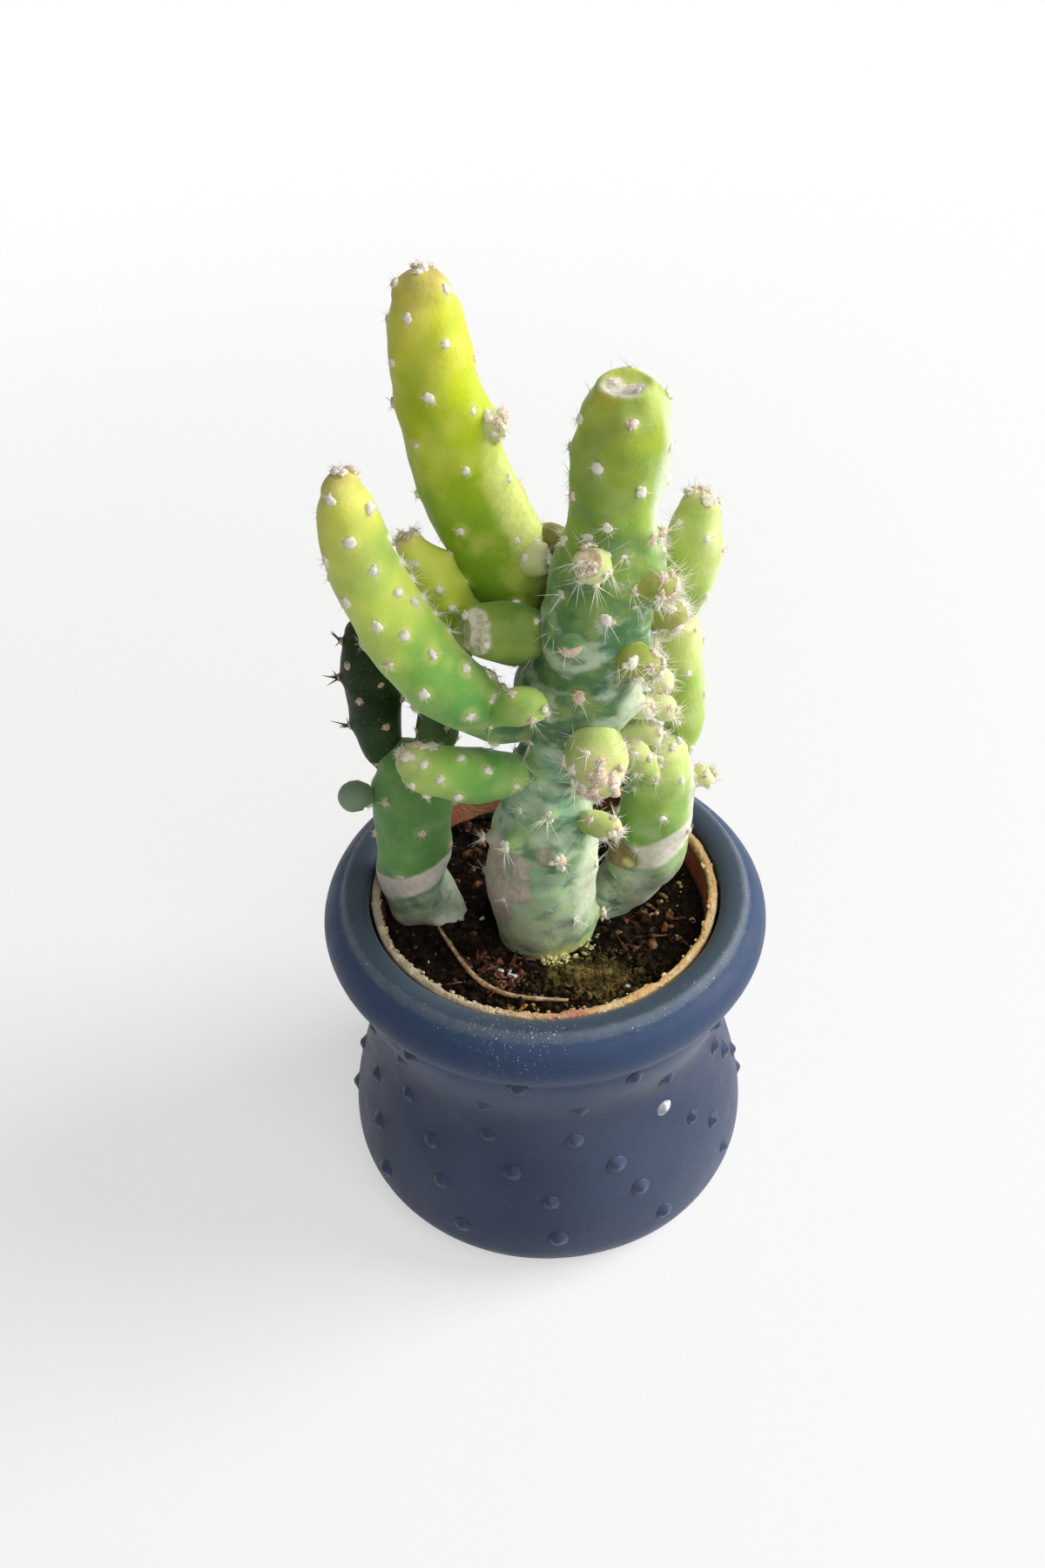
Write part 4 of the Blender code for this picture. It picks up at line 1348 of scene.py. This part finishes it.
# Rows of raised nubs, as (height, bearing of the first in degrees)
NUB_ROWS = ((56.0, 21.0), (45.0, 9.0), (35.6, 8.0), (28.6, 19.0), (21.6, 27.5), (12.4, 32.0))
NUBS_AROUND = 12
NUB_RADII = (1.7, 2.1)
NUB_HEIGHT = 0.52  # as a share of its radius
NUB_SINK = 0.05  # how far its foot lies in the wall, as a share of its height
CHIPPED_NUB = (2, 10)  # its row and its place in the row


def unevenness(spot):
    """How far the thrown wall lies inside its true outline."""
    return 0.12 * (noise.noise(spot / 22) - 0.5)


def make_cover_pot(glaze):
    outside = collar_outline()
    inner_belly = (BELLY_RADIUS - POT_WALL, BELLY_HEIGHT)
    inside = [(0.0, POT_FLOOR), (inner_belly[0] - 4.0, POT_FLOOR), inner_belly]
    inside += eased(inner_belly, (WAIST_RADIUS - POT_WALL, WAIST_HEIGHT), 8)
    inside += straight(inside[-1], (MOUTH_RADIUS, POT_HEIGHT - 5.5), 4)
    outline = inside + straight(inside[-1], outside[0], 3)[:-1] + outside + [(0.0, 0.0)]

    def wobble(spot, radius, height):
        flat = Vector((spot.x, spot.y, 0)).normalized()
        inward = unevenness(spot) if 2 < height < POT_HEIGHT - 1 else 0.0
        top = height > POT_HEIGHT - 3
        crest = bell(radius - CREST_RADIUS, 1.1) if top else 0.0
        shelf = min(max((CREST_RADIUS + 0.4 - radius) / 0.8, 0.0), 1.0) if top else 0.0
        roll = min(max((height - WAIST_HEIGHT - 6) / 6, 0.0), 1.0) if radius > MOUTH_RADIUS else 0.0
        return spot + flat * inward, (crest, shelf, roll)

    turned_pot("outer_pot", outline, POT_SIDES, glaze, ("crest", "shelf", "roll"), wobble)
    dice = random.Random("nubs")
    shape = bmesh.new()
    for row, (height, offset) in enumerate(NUB_ROWS):
        for k in range(NUBS_AROUND):
            level = height + dice.uniform(-0.7, 0.7)
            bearing = math.radians(offset + 360 / NUBS_AROUND * k + dice.uniform(-2, 2))
            radius = outline_radius(outside, level)
            slope = outline_radius(outside, level + 1) - outline_radius(outside, level - 1)
            outward = around(1.0, bearing, -slope / 2).normalized()
            point = around(radius, bearing, level)
            size = dice.uniform(*NUB_RADII)
            point += outward * unevenness(point)
            add_nub(shape, facing(point, outward), size, size * NUB_HEIGHT, (row, k) == CHIPPED_NUB)
    shiny = make_glaze("nub_glaze", gloss=0.2, rough=(0.30, 0.38))
    chipped = make_glaze("chipped_glaze", chalk=0.95)
    add_piece("outer_pot_nubs", shape, [shiny, chipped])


def add_nub(shape, place, radius, height, chipped=False):
    """A raised dot whose foot runs smoothly into the pot's wall."""
    nub = bmesh.new()
    bmesh.ops.create_uvsphere(nub, u_segments=16, v_segments=14, radius=1.0)
    for corner in nub.verts:
        out = 1 - abs(corner.co.z)
        flat = Vector((corner.co.x, corner.co.y, 0)).normalized() * out * radius
        dome = (0.5 + 0.5 * math.cos(math.pi * out)) ** 0.75
        flat.z = height * (dome - NUB_SINK if corner.co.z >= 0 else -0.4)
        corner.co = flat
    for face in nub.faces:
        face.material_index = int(chipped)
    bmesh.ops.transform(nub, matrix=place, verts=nub.verts)
    pour(nub, shape)


def outline_radius(outline, height):
    """The largest radius that the outline has at a height."""
    found = 0.0
    for a, b in zip(outline, outline[1:]):
        low, high = sorted((a[1], b[1]))
        if low <= height <= high and high > low:
            share = (height - a[1]) / (b[1] - a[1])
            found = max(found, a[0] + (b[0] - a[0]) * share)
    return found


def liner_radius(height):
    """The nursery pot's outer radius at a height."""
    share = (height - LINER_FOOT) / (LINER_TOP - LINER_FOOT)
    return LINER_FOOT_RADIUS + (LINER_RIM_RADIUS - LINER_FOOT_RADIUS) * share


def make_nursery_pot():
    floor = LINER_FOOT + LINER_WALL
    neck = LINER_TOP - 0.6
    inside = [(DRAIN_RADIUS, floor), (liner_radius(floor) - LINER_WALL, floor)]
    inside += straight(inside[-1], (liner_radius(neck) - LINER_WALL, neck - 2.2), 24)
    inside += eased(inside[-1], (liner_radius(neck) - RIM_THICKNESS, neck), 6)
    lip = arc((liner_radius(neck) - RIM_THICKNESS / 2, neck), RIM_THICKNESS / 2, 180, 0, 8)[1:-1]
    lip = [(radius, neck + (height - neck) * 0.6) for radius, height in lip]
    outside = [(liner_radius(neck), neck)]
    outside += straight(outside[-1], (liner_radius(LINER_FOOT), LINER_FOOT), 12)
    outline = [*inside, *lip, *outside, (DRAIN_RADIUS, LINER_FOOT), (DRAIN_RADIUS, floor)]

    def wobble(spot, radius, height):
        rim = min(max((height - (LINER_TOP - 3.0)) / 2.0, 0.0), 1.0)
        flat = Vector((spot.x, spot.y, 0)).normalized()
        crust = noise.noise(spot / 1.1) * 0.35 + noise.noise(spot / 4.0) * 0.3 - 0.15
        side = -1.0 if radius < liner_radius(height) - 0.8 else 0.3
        lift = Vector((0, 0, min(crust, 0.1) * rim))
        return spot + flat * crust * rim * side * 0.6 + lift, (rim,)

    plastic = make_liner_plastic()
    turned_pot("inner_pot", outline, LINER_SIDES, plastic, ("rim",), wobble)
    make_rim_crust(liner_radius(neck))


def make_rim_crust(radius):
    """Flakes of lime along the nursery pot's rim."""
    dice = random.Random("crust")
    shape = bmesh.new()
    for _ in range(CRUST_FLAKES):
        bearing = dice.uniform(0, TURN)
        inward = dice.uniform(0.1, 1.9)
        spot = around(radius - inward, bearing, LINER_TOP - dice.uniform(0.3, 0.9))
        size = dice.uniform(0.12, 0.36)
        form = Matrix.Rotation(bearing, 4, "Z") @ Matrix.Diagonal((size, size * 1.5, size * 0.6, 1.0))
        flake = bmesh.new()
        place = Matrix.Translation(spot) @ form
        bmesh.ops.create_icosphere(flake, subdivisions=2, radius=1.0, matrix=place)
        roughen(flake.verts, spot, 2.0, 0.9)
        pour(flake, shape)
    add_piece("inner_pot_crust", shape, [make_crust()])


def make_crust():
    paint = Paint("lime_crust", Roughness=0.95)
    pale = paint.span(paint.noise(1.4, 3), 0.5, 0.68, 0.0, 0.7)
    colour = paint.mix(pale, rim_colour(paint), (0.78, 0.68, 0.48))
    return paint.finish(colour, paint.noise(0.4, 3), 0.2)


# ---------------------------------------------------------------- soil


def make_earth(name, dark, light, size):
    """Something that lies in the soil: two colours in patches of about `size` millimetres."""
    paint = Paint(name, Roughness=1.0, Specular_IOR_Level=0.08)
    colour = paint.mix(paint.span(paint.noise(size, 5), 0.38, 0.68), dark, light)
    return paint.finish(colour, paint.noise(size * 0.6, 4), 0.35)


# The soil's waves, crumbs and grains, as (width, height, level of the noise)
SOIL_RELIEF = ((9.0, 1.3, SOIL_LEVEL), (2.2, 0.5, 3.0), (0.8, 0.22, 7.0))
SOIL_EDGE = SOIL_RADIUS - 0.8  # loose things lie inside this radius
# Bare soil at the stems' feet, as (x, y, radius)
STEM_FEET = ((-0.3, -4.0, 9.8), (-22.0, 2.0, 6.6), (13.5, 2.0, 5.2))
# A patch for the moss that clods keep off, as (x, y, half its width, half its depth)
MOSS_PATCH = (8.0, -18.0, 8.0, 5.0)
SOIL_SIDES = 180
SOIL_RINGS = 46


def on_soil(x, y):
    """The point of the soil's surface at a spot seen from above."""
    height = SOIL_LEVEL
    for width, rise, level in SOIL_RELIEF:
        height += noise.noise(Vector((x, y, level)) / width) * rise
    return Vector((x, y, height))


def make_soil_plug(peat):
    profile = [(SOIL_RADIUS * i / SOIL_RINGS, SOIL_LEVEL) for i in range(SOIL_RINGS + 1)]
    foot = liner_radius(SOIL_FOOT) - LINER_WALL - 0.3
    profile += [(foot, SOIL_FOOT), (0.0, SOIL_FOOT)]

    def place(angle, row):
        spot = around(profile[row][0], angle, profile[row][1])
        return on_soil(spot.x, spot.y) if spot.z == SOIL_LEVEL else spot, ()

    shape = rolled_grid(SOIL_SIDES, len(profile) - 1, place)
    add_piece("soil_plug", shape, [peat], replaces="soil")


def open_spots(count, dice, region=None, bare=None):
    """Random places on the soil, away from the stems' feet and the wall, and off a bare oval."""
    made = []
    while len(made) < count:
        if region:
            x = dice.gauss(region[0], region[2])
            y = dice.gauss(region[1], region[3])
        else:
            bearing = dice.uniform(0, TURN)
            radius = SOIL_EDGE * math.sqrt(dice.random())
            x = radius * math.cos(bearing)
            y = radius * math.sin(bearing)
        clear = all(math.hypot(x - foot_x, y - foot_y) > reach for foot_x, foot_y, reach in STEM_FEET)
        if bare:
            away = math.hypot((x - bare[0]) / bare[2], (y - bare[1]) / bare[3])
            if away < dice.uniform(0.7, 1.3):
                continue
        if clear and math.hypot(x, y) < SOIL_EDGE:
            made.append(on_soil(x, y))
    return made


def sector_spots(count, dice, centre, low, high, start, end):
    """Random places on the soil between two radii and two bearings, in degrees, round a centre."""
    made = []
    for _ in range(count):
        bearing = math.radians(dice.uniform(start, end))
        radius = dice.uniform(low, high)
        x = centre[0] + radius * math.cos(bearing)
        made.append(on_soil(x, centre[1] + radius * math.sin(bearing)))
    return made


def add_crumbs(
    name, material, count, low, high, seed, region=None, bare=None, sector=None, rough=0.5,
    sink=0.15, detail=2,
):
    """Irregular lumps lying on the soil, all over it, in a sector of a ring or in a region.

    A region is (x, y, spread in x, spread in y).
    """
    dice = random.Random(seed)
    shape = bmesh.new()
    for spot in sector_spots(count, dice, *sector) if sector else open_spots(count, dice, region, bare):
        size = dice.uniform(low, high)
        broad = size * dice.uniform(0.6, 1.0)
        form = Matrix.Diagonal((size, broad, size * dice.uniform(0.5, 0.9), 1.0))
        turn = Matrix.Rotation(dice.uniform(0, TURN), 4, "Z")
        lean = Matrix.Rotation(dice.uniform(-0.6, 0.6), 4, "X")
        place = Matrix.Translation(spot + Vector((0, 0, size * sink))) @ turn @ lean @ form
        crumb = bmesh.new()
        bmesh.ops.create_icosphere(crumb, subdivisions=detail, radius=1.0, matrix=place)
        for corner in crumb.verts:
            away = (corner.co - spot).normalized()
            corner.co += away * noise.noise(corner.co / size * 0.9) * size * rough
        pour(crumb, shape)
    add_piece(name, shape, [material], smooth=detail > 1)


def add_fibres(name, material, count, length, width, seed, region=None):
    """Bark fibres and twigs: flattened tapering slivers lying at odd angles."""
    dice = random.Random(seed)
    shape = bmesh.new()
    for spot in open_spots(count, dice, region):
        lie = dice.uniform(0, TURN)
        direction = around(1.0, lie, dice.uniform(-0.1, 0.35)).normalized()
        reach = length * dice.uniform(0.5, 1.3)
        thick = width * dice.uniform(0.6, 1.3)
        place = facing(spot + Vector((0, 0, thick * 0.5)), direction) @ Matrix.Diagonal((1, 0.45, 1, 1))
        made = bmesh.ops.create_cone(
            shape, cap_ends=True, segments=6, radius1=thick / 2, radius2=thick / 5, depth=reach,
            matrix=place,
        )
        edges = {edge for corner in made["verts"] for edge in corner.link_edges}
        lengthwise = [edge for edge in edges if edge.calc_length() > reach * 0.8]
        cuts = bmesh.ops.subdivide_edges(shape, edges=lengthwise, cuts=3)
        sway = Vector((dice.uniform(-1, 1), dice.uniform(-1, 1), 0.6)) * thick
        for corner in {part for part in cuts["geom_inner"] if isinstance(part, bmesh.types.BMVert)}:
            corner.co += sway * noise.noise(corner.co / 1.5)
    add_piece(name, shape, [material])


def make_soil():
    peat = make_earth("peat", (0.004, 0.003, 0.002), (0.020, 0.012, 0.008), 1.6)
    clod = make_earth("clods", (0.004, 0.003, 0.002), (0.034, 0.020, 0.011), 1.2)
    bark = make_earth("bark", (0.05, 0.017, 0.009), (0.26, 0.12, 0.07), 1.5)
    rust = make_earth("rusty_bark", (0.10, 0.035, 0.012), (0.44, 0.22, 0.09), 1.5)
    stone = make_earth("perlite", (0.62, 0.61, 0.56), (0.90, 0.90, 0.86), 0.8)
    moss = make_earth("moss", (0.035, 0.026, 0.009), (0.17, 0.12, 0.036), 2.6)
    lime = make_earth("yellow_lime", (0.46, 0.40, 0.14), (0.74, 0.68, 0.38), 0.7)
    ochre = make_earth("ochre_grit", (0.22, 0.10, 0.02), (0.52, 0.34, 0.08), 0.7)
    make_soil_plug(peat)
    add_crumbs("soil_clods", clod, 460, 0.35, 1.35, "clods", rough=0.8, bare=MOSS_PATCH)
    add_crumbs("soil_grains", clod, 800, 0.18, 0.4, "grains", detail=1)
    add_fibres("bark_fibres", clod, 90, 3.4, 0.6, "bark")
    add_fibres("bark_fibres_front", bark, 40, 3.6, 0.85, "front", region=(-9, -16, 3.2, 2.6))
    add_fibres("bark_fibres_right", bark, 20, 3.2, 0.7, "right", region=(19, -6, 2.6, 3.5))
    add_crumbs("bark_chips", bark, 14, 0.4, 0.9, "chips", rough=0.9)
    add_crumbs("bark_chips_front", bark, 22, 0.4, 1.1, "front", region=(-9, -15, 3.0, 2.6), rough=1.0)
    add_crumbs("bark_chips_right", rust, 9, 0.5, 1.3, "rust", region=(21, -3, 2.2, 5), rough=1.0)
    add_crumbs("bark_chips_back", bark, 34, 0.5, 1.4, "back", region=(-9, 14, 3.5, 5), rough=1.0)
    add_crumbs("perlite_grains", stone, 8, 0.3, 0.6, "perlite")
    add_crumbs(
        "perlite_front", stone, 7, 0.3, 0.7, "perlite_front", region=(-7.5, -17, 1.2, 1.3), rough=0.9,
    )
    add_crumbs(
        "moss_front", moss, 1500, 0.16, 0.5, "moss", region=(8.0, -18.0, 5.2, 3.0), sink=0.2, detail=1,
        rough=0.9,
    )
    add_crumbs(
        "moss_clumps", moss, 130, 0.35, 0.9, "clumps", region=(8, -18, 4.4, 2.6), sink=0.0, rough=1.2,
    )
    add_crumbs("moss_specks", moss, 160, 0.16, 0.4, "specks", detail=1)
    add_crumbs("lime_right", lime, 12, 0.25, 0.7, "lime", region=(24, -2, 2.0, 5), detail=1)
    foot = (0.5, -4.0)
    add_crumbs(
        "lime_foot", lime, 80, 0.2, 0.6, "foot", sector=(foot, 8.0, 11.2, -98, -68), sink=0.7, detail=1,
        rough=0.9,
    )
    add_crumbs(
        "lime_trail", lime, 34, 0.2, 0.5, "trail", sector=(foot, 8.2, 10.4, -68, -15), sink=0.7, detail=1,
        rough=0.9,
    )
    add_crumbs(
        "ochre_grit", ochre, 90, 0.18, 0.5, "grit", sector=((0, 0), 24.5, 28.5, -112, -92), sink=0.5,
        detail=1,
    )


def make_straw():
    """A dry grass stalk lying across the soil."""
    path = sampled(STRAW, 0.8)
    last = len(path) - 1

    def place(angle, row):
        i = min(max(row - 1, 0), last)
        before = Vector(path[max(i - 1, 0)])
        after = Vector(path[min(i + 1, last)])
        heading = (after - before).normalized()
        side = heading.cross(Vector((0, 0, 1))).normalized()
        over = side.cross(heading)
        radius = 0.0
        if 0 < row < last + 2:
            radius = STRAW_RADIUS * (0.75 + 0.5 * math.sin(i / last * TURN / 2))
            radius += STRAW_JOINT * bell((i / last * 3) % 1 - 0.5, 0.06)
        return Vector(path[i]) + (side * math.cos(angle) + over * math.sin(angle)) * radius, ()

    shape = rolled_grid(12, last + 2, place)
    paint = Paint("dry_stalk", Roughness=0.6)
    streaks = paint.noise(0.9, 3)
    colour = paint.mix(paint.span(streaks, 0.35, 0.7), (0.26, 0.15, 0.07), (0.62, 0.46, 0.26))
    stalk = paint.finish(colour, streaks, 0.1)
    add_piece("dry_stalk", shape, [stalk], replaces="straw")


# ---------------------------------------------------------------- floor, light and camera

FLOOR_SIZE = 12.0  # in metres
FLOOR_WHITENESS = 0.56  # how white of itself the floor looks round the pot, from 0 to 1
WHITENESS_SPAN = (0.12, 0.60)  # over this distance, in metres, it becomes fully white
LAMP_AIM = (0.0, 0.0, 0.09)
# Lamps, as name: (place, watts, width, colour), in metres as the aim is
LAMPS = {
    "key": ((1.62, 0.20, 1.02), 42.0, 1.1, (1.0, 0.99, 0.97)),
    "fill": ((0.5, -0.95, 1.6), 12.5, 1.0, (1.0, 1.0, 1.0)),
}
WORLD_COLOUR = (0.95, 0.97, 1.0, 1.0)
WORLD_STRENGTH = 0.11
WHITE = (1.0, 1.0, 1.0, 1.0)


def seen_plainly(tree):
    """Light Path's share of rays that come straight from the camera, or by gloss or glass."""
    path = tree.nodes.new("ShaderNodeLightPath")
    seen = path.outputs["Is Camera Ray"]
    for ray in ("Is Glossy Ray", "Is Transmission Ray"):
        either = tree.nodes.new("ShaderNodeMath")
        either.operation = "MAXIMUM"
        tree.links.new(seen, either.inputs[0])
        tree.links.new(path.outputs[ray], either.inputs[1])
        seen = either.outputs[0]
    return seen


def make_stage():
    """A pale floor that takes the shadow and runs out into white."""
    bpy.ops.mesh.primitive_plane_add(size=FLOOR_SIZE)
    floor = bpy.context.object
    floor.name = "floor"
    paint = Paint("pale_floor", Roughness=0.9, Specular_IOR_Level=0.1)
    colour = paint.mix(paint.noise(400, 1), (0.90, 0.90, 0.89), (0.93, 0.93, 0.92))
    floor.data.materials.append(paint.finish(colour, paint.noise(3, 2), 0.01))
    white = paint.node("Emission", WHITE, 1.0)
    whiteness = paint.span(paint.distance((0.0, 0.0, 0.0)), *WHITENESS_SPAN, FLOOR_WHITENESS, 1.0)
    share = paint.times(seen_plainly(paint.tree), whiteness)
    mix = paint.node("MixShader", share, paint.shader.outputs["BSDF"], white.outputs["Emission"])
    paint.feed(paint.tree.nodes["Material Output"].inputs["Surface"], mix.outputs["Shader"])


def add_light(name, place, power, width, colour):
    lamp = bpy.data.lights.new(name, "AREA")
    lamp.energy = power
    lamp.size = width
    lamp.color = colour
    light = bpy.data.objects.new(name, lamp)
    light.location = place
    light.rotation_euler = (Vector(LAMP_AIM) - Vector(place)).to_track_quat("-Z", "Y").to_euler()
    bpy.context.scene.collection.objects.link(light)


def make_light():
    for name, lamp in LAMPS.items():
        add_light(name, *lamp)
    world = bpy.data.worlds.new("studio")
    bpy.context.scene.world = world
    world.use_nodes = True
    tree = world.node_tree
    soft = tree.nodes["Background"]
    soft.inputs["Color"].default_value = WORLD_COLOUR
    soft.inputs["Strength"].default_value = WORLD_STRENGTH
    white = tree.nodes.new("ShaderNodeBackground")
    white.inputs["Color"].default_value = WHITE
    mix = tree.nodes.new("ShaderNodeMixShader")
    tree.links.new(seen_plainly(tree), mix.inputs["Fac"])
    tree.links.new(soft.outputs["Background"], mix.inputs[1])
    tree.links.new(white.outputs["Background"], mix.inputs[2])
    tree.links.new(mix.outputs["Shader"], tree.nodes["World Output"].inputs["Surface"])


# The camera: lengths in millimetres, angles in degrees
CAMERA_DISTANCE = 300.0
CAMERA_RISE = 44.34
CAMERA_TILT = 40.66
CAMERA_ROLL = 1.68
CAMERA_SIDE = -3.5
CAMERA_TARGET = 68.0  # height of the point that the camera swings round
SENSOR_WIDTH = 36.0
FOCAL_LENGTH = 36.72


def make_camera():
    """A camera that looks down at the pot's rim."""
    lens = bpy.data.cameras.new("camera")
    lens.sensor_width = SENSOR_WIDTH
    lens.lens = FOCAL_LENGTH
    lens.clip_start = 0.01
    camera = bpy.data.objects.new("camera", lens)
    rise = math.radians(CAMERA_RISE)
    back = -CAMERA_DISTANCE * math.cos(rise)
    place = Vector((CAMERA_SIDE, back, CAMERA_TARGET + CAMERA_DISTANCE * math.sin(rise)))
    tilt = Matrix.Rotation(math.radians(90 - CAMERA_TILT), 4, "X")
    roll = Matrix.Rotation(math.radians(-CAMERA_ROLL), 4, "Z")
    camera.matrix_world = Matrix.Translation(place * MM) @ tilt @ roll
    bpy.context.scene.collection.objects.link(camera)
    bpy.context.scene.camera = camera


make_plant()
make_cover_pot(make_glaze())
make_nursery_pot()
make_soil()
make_straw()
make_stage()
make_light()
make_camera()
bpy.context.scene.view_settings.view_transform = "Standard"
